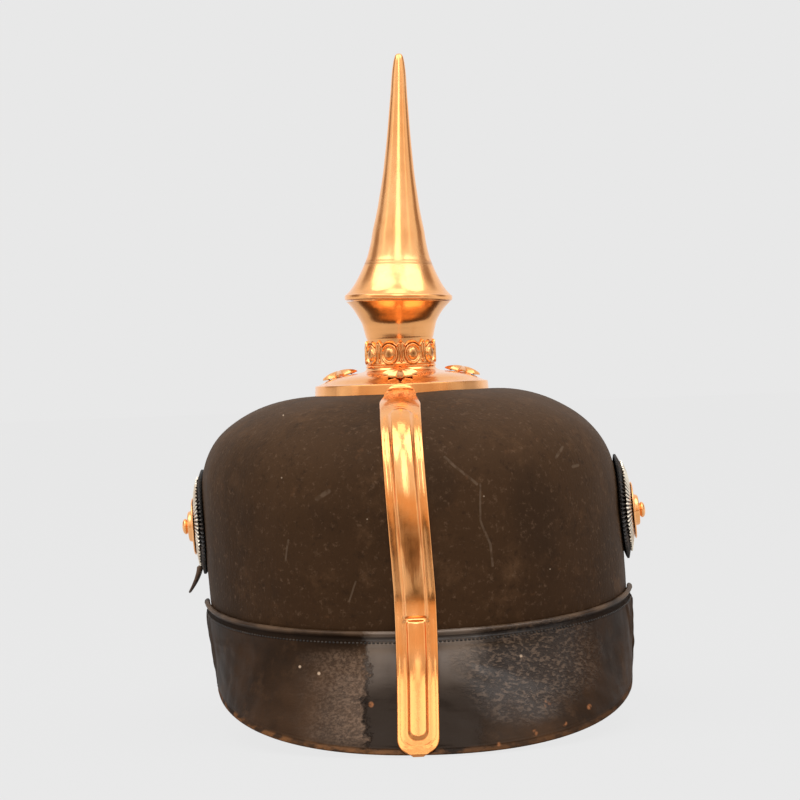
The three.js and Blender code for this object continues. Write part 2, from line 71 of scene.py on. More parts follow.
Array = np.ndarray
Value = Array | float
Material = bpy.types.Material
Settings = dict[str, object]
Sockets = dict[int | str, object]
Rgb = tuple[float, float, float]
Spot = tuple[tuple[float, float], float]
Stroke = tuple[tuple[float, float], tuple[float, float], float]

# One millimetre in the frame's metres, the space kept between pieces, and the crown's mean radius at
# the visors, which turns a direction into a distance. All lengths but MM are in millimetres. NUDGE is
# the small step over which a slope is taken.
MM = 0.001
GAP = 0.3
GIRTH = 97.0
NUDGE = 1e-3
TURN = 2 * math.pi
# Distances from an edge at which a rounded edge has its rows of points.
EASE = np.array([0, 0.06, 0.16, 0.3, 0.48, 0.7, 0.95])


class Slot(Enum):
    """The record's material slots."""

    CROWN = "crown_leather"
    VISOR = "visor_leather"
    STRAP = "strap_leather"
    BRASS = "brass"
    SILVER = "silver"
    LACQUER = "black_lacquer"


class Side(Enum):
    """The two sides of the helmet, with the sign of their X."""

    LEFT = 1
    RIGHT = -1

    @property
    def label(self) -> str:
        """The side's name as the frame's nodes use it."""
        return self.name.lower()


# ---- small maths


def mix(a: Value, b: Value, t: Value) -> Value:
    """The value that lies a share t of the way from a to b."""
    return a + (b - a) * t


def smooth(t: Value) -> Array:
    """A share that eases in and out: 3t^2 - 2t^3, held at 0 and 1 outside its range."""
    t = np.clip(t, 0.0, 1.0)
    return t * t * (3 - 2 * t)


def rounding(t: Value) -> Array:
    """A share that rises as a quarter circle: sqrt(1 - (1 - t)^2), held at 0 and 1 outside its range."""
    return np.sqrt(np.clip(1 - (1 - np.clip(t, 0, 1)) ** 2, 0, 1))


def bump(distance: Array, width: float) -> Array:
    """A round bump of height 1 that falls as exp(-(distance / width)^2)."""
    return np.exp(-((distance / width) ** 2))


def grid(first: Array, second: Array) -> tuple[Array, Array]:
    """Two parameters as whole arrays, the first along rows and the second along columns."""
    return np.meshgrid(first, second, indexing="ij")


def turns_and_shares(turns: int, shares: int) -> tuple[Array, Array]:
    """Angles round a full turn along rows, and shares from 0 to 1 along columns, by even steps."""
    return grid(np.linspace(0, TURN, turns + 1), np.linspace(0, 1, shares + 1))


def off_ray(turn: Array, rays: int) -> Array:
    """How far an angle lies from the nearest of so many rays: 0 on a ray, 1 midway between two."""
    return np.abs((turn / TURN * rays + 0.5) % 1 - 0.5) * 2


def polar(r: Value, turn: Array, z: Value) -> Array:
    """Points at a distance and an angle about Z."""
    return stack(r * np.cos(turn), r * np.sin(turn), z)


def stack(x: Value, y: Value, z: Value) -> Array:
    """Three coordinate arrays as one array of points."""
    return np.stack(np.broadcast_arrays(x, y, z), axis=-1).astype(float)


def rumple(points: Array, size: float, seed: int) -> Array:
    """Soft unevenness through space, mostly between -1 and 1: a sum of eight waves in mixed directions.

    Args:
        points: Where it is wanted, in millimetres.
        size: The length of a typical wave.
        seed: A number that picks the waves.

    Returns:
        One value for each point.
    """
    dice = np.random.default_rng(seed)
    waves = unit(dice.normal(size=(8, 3))) * dice.uniform(0.6, 1.6, (8, 1)) * TURN / size
    return np.sin(points @ waves.T + dice.uniform(0, TURN, 8)).sum(axis=-1) / 3.2


def unit(vectors: Array) -> Array:
    """Vectors scaled to length 1."""
    return vectors / np.maximum(np.linalg.norm(vectors, axis=-1, keepdims=True), 1e-12)


def along(points: Array, stations: Array | int) -> Array:
    """Points at even steps, or at given distances, along a polyline.

    Args:
        points: The polyline's corners, one a row.
        stations: A number of even steps, or distances from the start.

    Returns:
        One point for each station, by straight interpolation between corners.
    """
    steps = np.linalg.norm(np.diff(points, axis=0), axis=1)
    reach = np.concatenate([[0.0], np.cumsum(steps)])
    if isinstance(stations, int):
        stations = np.linspace(0, reach[-1], stations)
    return np.stack([np.interp(stations, reach, points[:, k]) for k in range(points.shape[1])], axis=1)


def rounded(points: Array, rounds: int = 3) -> Array:
    """A polyline with its corners cut round: each round keeps the quarter points of every stretch.

    Args:
        points: The corners, one a row.
        rounds: How many times they are cut.

    Returns:
        The rounded polyline, with the same two ends.
    """
    for _ in range(rounds):
        near = mix(points[:-1], points[1:], 0.25)
        far = mix(points[:-1], points[1:], 0.75)
        middle = np.stack([near, far], axis=1).reshape(-1, points.shape[1])
        points = np.concatenate([points[:1], middle, points[-1:]])
    return points


def curve(pairs: Sequence[tuple[float, float]], count: int) -> Array:
    """A smooth curve through [radius, height] pairs, by Catmull-Rom stretches.

    Args:
        pairs: The points that the curve passes through.
        count: How many points to return, at even distances.

    Returns:
        The curve's points.
    """
    p = np.asarray(pairs, float)
    padded = np.concatenate([2 * p[:1] - p[1:2], p, 2 * p[-1:] - p[-2:-1]])
    t = np.linspace(0, 1, 24, endpoint=False)[:, None]
    stretches = []
    for k in range(len(p) - 1):
        a, b, c, d = padded[k : k + 4]
        square, cube = 2 * a - 5 * b + 4 * c - d, 3 * b - a - 3 * c + d
        stretches.append(0.5 * (2 * b + (c - a) * t + square * t**2 + cube * t**3))
    return along(np.concatenate(stretches + [p[-1:]]), count)


# ---- frame


@dataclass(frozen=True)
class Seat:
    """Where the helmet stands in the frame, and how its old leather has settled.

    The crown leans to the wearer's right by slope millimetres for each millimetre below from_z.
    """

    from_z: float = 145.0
    slope: float = 0.0466

    @property
    def axis(self) -> Array:
        """The base plate's middle in the frame, in millimetres."""
        low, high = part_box("spike_base")
        return np.array([(low.x + high.x) / 2, (low.y + high.y) / 2]) / MM

    def place(self, points: Array) -> Array:
        """Points round the axis, in millimetres, as frame points in metres.

        Args:
            points: Points round the axis, upright, with Z up from the floor.

        Returns:
            The same points, leaned and moved to the axis.
        """
        placed = np.array(points, float)
        placed[..., 0] -= self.slope * np.maximum(0.0, self.from_z - placed[..., 2])
        placed[..., :2] += self.axis
        return placed * MM


SEAT = Seat()


# ---- meshes


class Shape:
    """A mesh in the making: sheets of points with their faces, maps and marks."""

    def __init__(self) -> None:
        """Starts with nothing."""
        self.points: list[Array] = []
        self.faces: list[Array] = []
        self.maps: list[Array] = []
        self.marks: list[Array] = []
        self.slots: list[Array] = []
        self.count = 0

    def _add(self, points: Array, faces: Array, maps: Array, marks: Array, slot: int) -> None:
        """Adds a sheet's parts to the lists.

        Args:
            points: Its points.
            faces: The four points of each face, counted from the sheet's first.
            maps: Two map coordinates for each point.
            marks: One mark for each point.
            slot: The number of its material.
        """
        self.points.append(points)
        self.faces.append(faces + self.count)
        self.maps.append(maps)
        self.marks.append(marks)
        self.slots.append(np.full(len(faces), slot))
        self.count += len(points)

    def sheet(self, points: Array, maps: Array | None = None, mark: Value = 0.0, slot: int = 0,
              turn: bool = False) -> "Shape":
        """Adds a sheet of four-sided faces between rows and columns of points.

        Args:
            points: Points by row and column.
            maps: Two map coordinates for each point, or none for shares of rows and columns.
            mark: A number for each point that the finish reads, such as a hollow's depth.
            slot: The number of the sheet's material on the piece.
            turn: Whether the faces look the other way.

        Returns:
            The shape, so that calls can follow each other.
        """
        nu, nv = points.shape[:2]
        index = np.arange(nu * nv).reshape(nu, nv)
        quads = np.stack([index[:-1, :-1], index[1:, :-1], index[1:, 1:], index[:-1, 1:]], axis=-1)
        quads = quads.reshape(-1, 4)
        if maps is None:
            maps = np.stack(grid(np.linspace(0, 1, nu), np.linspace(0, 1, nv)), axis=-1)
        marks = np.broadcast_to(mark, (nu, nv)).ravel()
        quads = quads[:, ::-1] if turn else quads
        self._add(points.reshape(-1, 3), quads, maps.reshape(-1, 2), marks, slot)
        return self

    def wall(self, outer: Array, inner: Array, ring: bool = False, maps: Array | None = None,
             mark: Value = 0.0, inner_slot: int = 0) -> "Shape":
        """Adds the closed wall between two sheets of the same size.

        Args:
            outer: The outer sheet's points.
            inner: The inner sheet's points.
            ring: Whether the sheets close on themselves from last row to first.
            maps: The outer sheet's map, which the inner one shares.
            mark: The outer sheet's marks.
            inner_slot: The number of the inner sheet's material.

        Returns:
            The shape.
        """
        self.sheet(outer, maps, mark)
        self.sheet(inner, maps, 0.0, inner_slot, turn=True)
        mark = np.broadcast_to(mark, outer.shape[:2])

        def edge(take: Callable[[Array], Array], turn: bool) -> None:
            """Closes the wall along one side.

            Args:
                take: Picks that side's points from a sheet.
                turn: Whether the faces look the other way.
            """
            rim = np.stack([take(outer), take(inner)], axis=1)
            rim_map = None if maps is None else np.stack([take(maps), take(maps)], axis=1)
            self.sheet(rim, rim_map, np.stack([take(mark), take(mark)], axis=1), 0, turn)

        edge(lambda s: s[:, 0], True)
        edge(lambda s: s[:, -1], False)
        if not ring:
            edge(lambda s: s[0], False)
            edge(lambda s: s[-1], True)
        return self

    def copies(self, form: Array, places: Array, axes: Array, slot: int = 0) -> "Shape":
        """Adds a small closed form many times.

        Args:
            form: The form's points by row and column.
            places: One middle for each copy.
            axes: For each copy, the three directions that the form's X, Y and Z take.
            slot: The number of the copies' material on the piece.

        Returns:
            The shape.
        """
        one = Shape().sheet(form)
        points = np.einsum("fk,nkc->nfc", one.points[0], axes) + places[:, None, :]
        starts = np.arange(len(places))[:, None, None] * one.count
        faces = (one.faces[0][None] + starts).reshape(-1, 4)
        total = len(places) * one.count
        self._add(points.reshape(-1, 3), faces, np.zeros((total, 2)), np.zeros(total), slot)
        return self

    def mesh(self, name: str, sharp: float) -> bpy.types.Mesh:
        """The finished mesh, welded, smooth and with its faces looking outwards.

        Args:
            name: The mesh's name.
            sharp: The angle in degrees past which an edge stays sharp.

        Returns:
            The mesh.
        """
        points = SEAT.place(np.concatenate(self.points))
        faces = np.concatenate(self.faces)
        mesh = bpy.data.meshes.new(name)
        mesh.from_pydata(points, [], faces.tolist())
        layer = mesh.uv_layers.new(name="surface")
        layer.data.foreach_set("uv", np.concatenate(self.maps)[faces.ravel()].astype(np.float32).ravel())
        mark = mesh.attributes.new("mark", "FLOAT", "POINT")
        mark.data.foreach_set("value", np.concatenate(self.marks).astype(np.float32))
        mesh.polygons.foreach_set("material_index", np.concatenate(self.slots).astype(np.int32))
        work = bmesh.new()
        work.from_mesh(mesh)
        bmesh.ops.remove_doubles(work, verts=work.verts, dist=1e-6)
        bmesh.ops.dissolve_degenerate(work, edges=work.edges, dist=1e-8)
        bmesh.ops.recalc_face_normals(work, faces=work.faces)
        work.to_mesh(mesh)
        work.free()
        mesh.polygons.foreach_set("use_smooth", np.ones(len(mesh.polygons), bool))
        mesh.set_sharp_from_angle(angle=math.radians(sharp))
        mesh.update()
        return mesh


def turned(outline: Array, steps: int = 160) -> Array:
    """The sheet that an outline of [radius, height] points sweeps round the axis.

    Args:
        outline: The outline's points.
        steps: How many steps a full turn has.

    Returns:
        Points by step and outline point, with x = r sin(angle) and y = r cos(angle).
    """
    angle, row = grid(np.linspace(0, TURN, steps + 1), np.arange(len(outline)))
    radius, height = outline[row, 0], outline[row, 1]
    return stack(radius * np.sin(angle), radius * np.cos(angle), height)


def finish_piece(name: str, shape: Shape, materials: Sequence[Material], node: str,
                 sharp: float) -> None:
    """Makes a piece from its shape, dresses it and hands it to the frame.

    Args:
        name: The piece's name.
        shape: Its shape.
        materials: Its materials, in the order of the shape's material numbers.
        node: The frame's node that it stands for.
        sharp: The angle in degrees past which an edge stays sharp.
    """
    piece = bpy.data.objects.new(name, shape.mesh(name, sharp))
    bpy.context.scene.collection.objects.link(piece)
    for material in materials:
        piece.data.materials.append(material)
    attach(piece, "root")
    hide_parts(node)
    LOG.info("%s: %d faces", name, len(piece.data.polygons))


# ---- the crown


@dataclass(frozen=True)
class Crown:
    """The crown's surface: a square-shouldered dome on a nearly straight oval wall.

    Directions run round it from the nape towards the wearer's left. w runs down it: 0 at the top,
    1 at the belt where the dome meets the wall, and 2 at the foot.
    """

    half_width: float = 94.0
    half_rear: float = 106.0
    half_front: float = 104.0
    widest_back: float = 8.0
    belt_z: float = 84.0
    dome: float = 62.8
    power: float = 3.6
    taper: float = 0.012
    foot_z: float = 41.0
    ear_z: float = 47.0
    wall: float = 2.2
    fuller: float = 1.4
    fuller_right: float = 0.9
    steps: tuple[int, int] = (280, 100)

    @property
    def top_z(self) -> float:
        """The height of the crown's top."""
        return self.belt_z + self.dome

    def at(self, phi: Value, w: Value) -> Array:
        """Points on the surface.

        The outline is a superellipse, |across|^power + |up|^power = 1, so that it is square in the
        shoulder, and each level is an oval that is widest a little behind the axis.

        Args:
            phi: The direction.
            w: The way down.

        Returns:
            One point for each pair.
        """
        angle = np.maximum(1 - w, 0) * math.pi / 2
        across, up = np.maximum(np.cos(angle), 0), np.sin(angle)
        reach = (across**self.power + up**self.power) ** (-1 / self.power)
        below = np.maximum(w - 1, 0)
        share = across * reach * (1 - self.taper * below**2)
        z = self.belt_z + self.dome * up * reach - below * (self.belt_z - self.foot_z)
        half = np.where(np.cos(phi) > 0, self.half_rear, self.half_front)
        y = half * np.cos(phi) + self.widest_back * np.sin(phi) ** 2
        return stack(share * self.half_width * np.sin(phi), share * y, z)

    def normal(self, phi: Value, w: Value) -> Array:
        """The direction that points straight out of the surface.

        Args:
            phi: The direction.
            w: The way down.

        Returns:
            One unit vector for each pair.
        """
        w = np.maximum(w, 0.02)
        across = self.at(phi + NUDGE, w) - self.at(phi - NUDGE, w)
        down = self.at(phi, w + NUDGE) - self.at(phi, w - NUDGE)
        return unit(np.cross(across, down))

    def lifted(self, phi: Value, w: Value, lift: Value) -> Array:
        """Points that stand off the surface by a distance."""
        return self.at(phi, w) + self.normal(phi, w) * np.asarray(lift)[..., None]

    def down_to(self, z: Value) -> Array:
        """The w at a height.

        Args:
            z: The height.

        Returns:
            The w, from the superellipse above the belt and by even steps below it.
        """
        up = np.clip((z - self.belt_z) / self.dome, 0, 1)
        over = 1 - np.arctan2(up, (1 - up**self.power) ** (1 / self.power)) / (math.pi / 2)
        return np.where(z <= self.belt_z, 1 + (self.belt_z - z) / (self.belt_z - self.foot_z), over)

    def outward(self, phi: Value) -> Array:
        """The level direction that points out of the wall, as one unit vector for each direction."""
        run = self.at(phi + NUDGE, 1.0) - self.at(phi - NUDGE, 1.0)
        return unit(stack(-run[..., 1], run[..., 0], 0.0))

    def rim_z(self, phi: Array) -> Array:
        """The height of the crown's lower rim, which rises from the nape to the ears."""
        return mix(self.foot_z, self.ear_z, smooth((1 - np.cos(phi)) / 0.9))

    def build(self, leather: Material, lining: Material) -> None:
        """Makes the leather shell, dented with age and fuller in the shoulder.

        Args:
            leather: The outside's material.
            lining: The inside's material.
        """
        phi, share = turns_and_shares(*self.steps)
        w = share * self.down_to(self.rim_z(phi))
        base = self.at(phi, w)
        dents = 0.30 * rumple(base, 75, 3) + 0.10 * rumple(base, 22, 4)
        fuller = self.fuller + self.fuller_right * smooth(-1.6 * np.sin(phi))
        worn = dents * smooth(w / 0.5) * smooth(3.4 - 2 * w) + fuller * bump(w - 0.31, 0.13)
        outer = self.lifted(phi, w, worn)
        inner = self.lifted(phi, w, worn - self.wall)
        shape = Shape().wall(outer, inner, ring=True, inner_slot=1)
        finish_piece("crown_shell", shape, [leather, lining], "skull", 38)


CROWN = Crown()


# ---- visors


@dataclass(frozen=True)
class Visor:
    """A leather visor that hangs from a sewn band on the crown and flares out below it."""

    middle: float = 0.0
    end: float = 1.5
    band: float = 6.5
    wall: float = 1.8
    bend: float = 0.1
    turns: int = 300
    rows: int = 60

    def top(self, phi: Array) -> Array:
        """The height of the top edge."""
        raise NotImplementedError

    def low(self, phi: Array) -> Array:
        """The height of the lower edge."""
        raise NotImplementedError

    def flare(self, phi: Array) -> Array:
        """How far the lower edge stands out from the crown's wall."""
        raise NotImplementedError

    def wear(self, phi: Array, from_top: Array, from_low: Array, from_end: Array) -> Array:
        """How much age has lifted the surface, in millimetres."""
        return 0.0 * phi

    def flat(self, phi: Array, from_top: Array) -> Array:
        """The visor laid flat, as points along it and down it."""
        return stack(phi * GIRTH, from_top, 0.0)

    def length(self, phi: Array) -> Array:
        """The distance down the visor's face below the band."""
        return np.hypot(self.top(phi) - self.band - self.low(phi), self.flare(phi))

    def face(self, phi: Array, banded: Array, hanging: Array, lift: Value) -> Array:
        """Points on the visor.

        Args:
            phi: The direction.
            banded: The share of the way down the band.
            hanging: The share of the way from the band to the lower edge.
            lift: The distance off the crown.

        Returns:
            Points that lie on the wall down the band, and that leave it below in a soft bend:
            the way out is (sqrt(h^2 + bend^2) - bend), scaled to reach the flare.
        """
        seam = self.top(phi) - self.band
        z = mix(seam + self.band * (1 - banded), self.low(phi), hanging)
        point = CROWN.lifted(phi, CROWN.down_to(np.maximum(z, seam)), lift)
        point[..., 2] = z
        out = np.hypot(hanging, self.bend) - self.bend
        out = out / (math.hypot(1, self.bend) - self.bend) * self.flare(phi)
        return point + CROWN.outward(phi) * out[..., None]

    def shape(self) -> Shape:
        """The visor's closed, round-edged wall.

        Returns:
            A wall as thick as the leather, whose edges are half circles.
        """
        inset, end_rows, band_step = 0.055, [1.4, 2.0, 2.8, 3.8], 0.28
        rim = np.append(EASE, end_rows) / GIRTH
        middle = np.linspace(inset - self.end, self.end - inset, self.turns)
        turns = self.middle + np.concatenate([rim - self.end, middle, self.end - rim[::-1]])
        band = np.append(EASE[:-1], np.arange(EASE[-1], self.band, band_step))
        edge = np.append([6.0, 5.2, 4.5, 4.0, 3.6, 3.2, 2.8, 2.5, 2.2, 1.9, 1.6, 1.3], EASE[::-1])
        last = len(band) + self.rows
        phi, column = grid(turns, np.arange(last + len(edge)))
        length = self.length(phi)
        share = np.clip((column - len(band)) / self.rows, 0, 1) * (1 - edge[0] / length)
        tail = edge[np.clip(column - last, 0, len(edge) - 1)]
        hanging = np.where(column >= last, 1 - tail / length, share)
        banded = np.where(column < len(band), band[np.minimum(column, len(band) - 1)] / self.band, 1.0)
        from_top = banded * self.band + hanging * length
        from_low = (1 - hanging) * length + (1 - banded) * self.band
        from_end = (self.end - np.abs(phi - self.middle)) * GIRTH
        half = self.wall / 2
        near = np.minimum(np.minimum(from_top, from_low), from_end) / half
        fill = rounding(near) * half
        core = GAP + half
        worn = self.wear(phi, from_top, from_low, from_end)
        worn_inside = np.where(from_top > self.band + 4, worn, 0) * 0.5
        outer = self.face(phi, banded, hanging, core + fill + worn)
        inner = self.face(phi, banded, hanging, core - fill + worn_inside)
        maps = np.stack([(phi - self.middle) * GIRTH * MM, from_top * MM], axis=-1)
        return Shape().wall(outer, inner, maps=maps, mark=smooth(1.6 - from_low / 2.2))


@dataclass(frozen=True)
class Fold:
    """A straight fold near one end of the rear visor.

    Its two ends are distances from the visor's end and from its top edge.
    """

    side: Side
    start: tuple[float, float]
    stop: tuple[float, float]
    width: float
    height: float


@dataclass(frozen=True)
class RearVisor(Visor):
    """The neck guard: piped along its top edge, stitched below it and pressed along its hem."""

    top_rear: float = 49.0
    top_end: float = 58.5
    flare_rear: float = 27.0
    bend: float = 0.35
    flare_side: float = -2.6
    rise: float = 17.2
    foot: float = 0.6
    tilt: float = 1.35
    corner: float = 0.3
    corner_share: float = 0.45
    stitch_down: float = 4.9
    stitch_pitch: float = 1.75
    stitch_size: tuple[float, float, float] = (0.62, 0.45, 0.42)
    folds: tuple[Fold, ...] = (
        Fold(Side.RIGHT, (4.5, 1.0), (9.5, 33.0), 0.9, 0.8),
        Fold(Side.RIGHT, (22.0, 4.0), (13.0, 22.0), 1.0, 0.8),
        Fold(Side.RIGHT, (12.0, 3.0), (10.0, 30.0), 0.9, -0.7),
        Fold(Side.LEFT, (4.0, 2.0), (9.0, 34.0), 1.2, 0.8),
        Fold(Side.LEFT, (13.0, 5.0), (21.0, 36.0), 1.3, 0.55),
        Fold(Side.LEFT, (9.0, 4.0), (14.0, 26.0), 1.0, -0.5),
    )

    def top(self, phi: Array) -> Array:
        """The top edge's height, which rises as the square of the direction."""
        return mix(self.top_rear, self.top_end, (phi / self.end) ** 2)

    def low(self, phi: Array) -> Array:
        """The lower edge's height, which rises to the sides and turns up in a round corner.

        Args:
            phi: The direction.

        Returns:
            The height: foot + rise |sin|^2.4 + tilt sin, lifted in the corners.
        """
        low = self.foot + self.rise * np.abs(np.sin(phi)) ** 2.4 + self.tilt * np.sin(phi)
        into = np.clip((np.abs(phi) - self.end) / self.corner + 1, 0, 1)
        return mix(low, self.top(phi), self.corner_share * (1 - np.sqrt(1 - into**2)))

    def flare(self, phi: Array) -> Array:
        """How far the lower edge stands out, most at the nape."""
        return mix(self.flare_rear, self.flare_side, np.sin(phi) ** 2)

    def wear(self, phi: Array, from_top: Array, from_low: Array, from_end: Array) -> Array:
        """The piping, its groove, the pressed hem lines, and the folds near the two ends.

        Args:
            phi: The direction.
            from_top: The distance from the top edge.
            from_low: The distance from the lower edge.
            from_end: The distance from the nearer end.

        Returns:
            The height that they add, in millimetres.
        """
        piping = 0.6 * bump(from_top - 1.0, 0.8) - 0.85 * bump(from_top - 3.3, 1.0)
        channel = -0.25 * bump(from_top - self.stitch_down, 0.5)
        hem = -0.28 * bump(from_low - 2.3, 0.35) - 0.12 * bump(from_low - 3.6, 0.3)
        spots = self.flat(phi, from_top)
        soft = (0.34 * rumple(spots, 34, 11) + 0.10 * rumple(spots, 11, 12)) * smooth((from_top - 7) / 9)
        return piping + channel + hem + soft * smooth(from_low / 5) + self.folded(phi, from_top, from_end)

    def folded(self, phi: Array, from_top: Array, from_end: Array) -> Array:
        """The folds that run down the two ends.

        Args:
            phi: The direction.
            from_top: The distance from the top edge.
            from_end: The distance from the nearer end.

        Returns:
            Their height: a round ridge about each straight line, which fades out at both its ends.
        """
        total = 0.0 * phi
        for fold in self.folds:
            (x0, y0), (x1, y1) = fold.start, fold.stop
            across = (from_end - x0) * (y1 - y0) - (from_top - y0) * (x1 - x0)
            away = across / math.hypot(x1 - x0, y1 - y0)
            share = (from_top - y0) / (y1 - y0)
            fade = smooth((share + 0.1) / 0.25) * smooth((1.15 - share) / 0.4)
            total = total + fold.height * bump(away, fold.width) * fade * (np.sign(phi) == fold.side.value)
        return total

    def stitches(self, shape: Shape) -> None:
        """Adds the seam's stitches, each a small round grain that lies along the seam.

        Args:
            shape: The visor's shape, which takes them as its second material.
        """

        def seam(phi: Array, sunk: float) -> Array:
            """Points along the seam, sunk by a distance below the leather's face."""
            lift = GAP + self.wall - sunk
            return self.face(phi, np.full_like(phi, self.stitch_down / self.band), 0 * phi, lift)

        phi = np.linspace(-self.end + 0.03, self.end - 0.03, 2000)
        line = seam(phi, 0.28)
        run = np.concatenate([[0], np.cumsum(np.linalg.norm(np.diff(line, axis=0), axis=1))])
        phi = np.interp(np.arange(self.stitch_pitch / 2, run[-1], self.stitch_pitch), run, phi)
        places = seam(phi, 0.12)
        tangent, out = unit(seam(phi + NUDGE, 0.12) - places), CROWN.outward(phi)
        axes = np.stack([tangent, out, np.cross(tangent, out)], axis=1)
        turn, tilt = grid(np.linspace(0, TURN, 9), np.linspace(0, math.pi, 7))
        ball = stack(np.cos(tilt), np.sin(tilt) * np.cos(turn), np.sin(tilt) * np.sin(turn))
        shape.copies(ball * self.stitch_size, places, axes, slot=1)

    def build(self, leather: Material, thread: Material) -> None:
        """Makes the rear visor with its stitching.

        Args:
            leather: The visor's material.
            thread: The stitches' material.
        """
        shape = self.shape()
        self.stitches(shape)
        finish_piece("rear_visor_leather", shape, [leather, thread], "rear_visor", 50)


@dataclass(frozen=True)
class FrontVisor(Visor):
    """The peak over the brow: long in the middle and short at its two ends."""

    middle: float = math.pi
    end: float = 1.25
    top_z: float = 55.0
    flare_middle: float = 40.0
    flare_end: float = 2.0
    end_depth: float = 11.0
    level: float = 0.12
    foot: float = 1.1
    trim_width: float = 5.0
    trim_sheet: float = 0.8
    trim_round: float = 0.4
    turns: int = 220
    rows: int = 40

    def brow(self, phi: Array) -> Array:
        """How much of the depth hangs here: cos(t^1.5 * 90 degrees), with t from the level part out."""
        t = np.clip((np.abs(phi - self.middle) / self.end - self.level) / (1 - self.level), 0, 1)
        return np.cos(t**1.5 * math.pi / 2)

    def top(self, phi: Array) -> Array:
        """The top edge is level."""
        return self.top_z + 0.0 * phi

    def low(self, phi: Array) -> Array:
        """The lower edge's height."""
        return mix(self.top_z - self.end_depth, self.foot, self.brow(phi))

    def flare(self, phi: Array) -> Array:
        """How far the lower edge stands out, most over the brow."""
        return mix(self.flare_end, self.flare_middle, self.brow(phi))

    def wear(self, phi: Array, from_top: Array, from_low: Array, from_end: Array) -> Array:
        """The piping with its groove, and a little softness."""
        soft = 0.16 * rumple(self.flat(phi, from_top), 40, 13) * smooth((from_top - 7) / 9)
        return 0.5 * bump(from_top - 1, 0.75) - 0.45 * bump(from_top - 3.1, 0.9) + soft * smooth(from_low / 8)

    def build(self, leather: Material) -> None:
        """Makes the front visor."""
        finish_piece("front_visor_leather", self.shape(), [leather], "front_visor", 50)

    def build_trim(self, brass: Material) -> None:
        """Makes the folded brass edge, which goes down the outer face, round under it and up the inner.

        Args:
            brass: Its material.
        """
        phi, turn = grid(self.middle + np.linspace(-self.end, self.end, 221), np.linspace(0, 1, 41))
        width = self.trim_width / self.length(phi)

        def section(spare: float) -> Array:
            """One face of the folded sheet.

            Args:
                spare: How far it stands off the leather.

            Returns:
                Points whose two arms run straight along the leather and are joined by a half circle.
            """
            outer_lift, inner_lift = GAP + self.wall + GAP + spare, -spare
            core, half = (outer_lift + inner_lift) / 2, (outer_lift - inner_lift) / 2
            arm = np.clip(np.abs(turn - 0.5) / 0.5, 0, 1)
            hanging = 1 - width * np.clip((arm - self.trim_round) / (1 - self.trim_round), 0, 1)
            swing = np.clip((turn - 0.5) / (0.5 * self.trim_round), -1, 1) * math.pi / 2
            points = self.face(phi, np.ones_like(phi), hanging, core - half * np.sin(swing))
            points[..., 2] -= (GAP + spare) * np.cos(swing) * (arm < self.trim_round)
            return points

        shape = Shape().wall(section(self.trim_sheet), section(0.05))
        finish_piece("front_visor_edge", shape, [brass], "front_visor_trim", 50)


REAR_VISOR = RearVisor()
FRONT_VISOR = FrontVisor()


# ---- rear spine


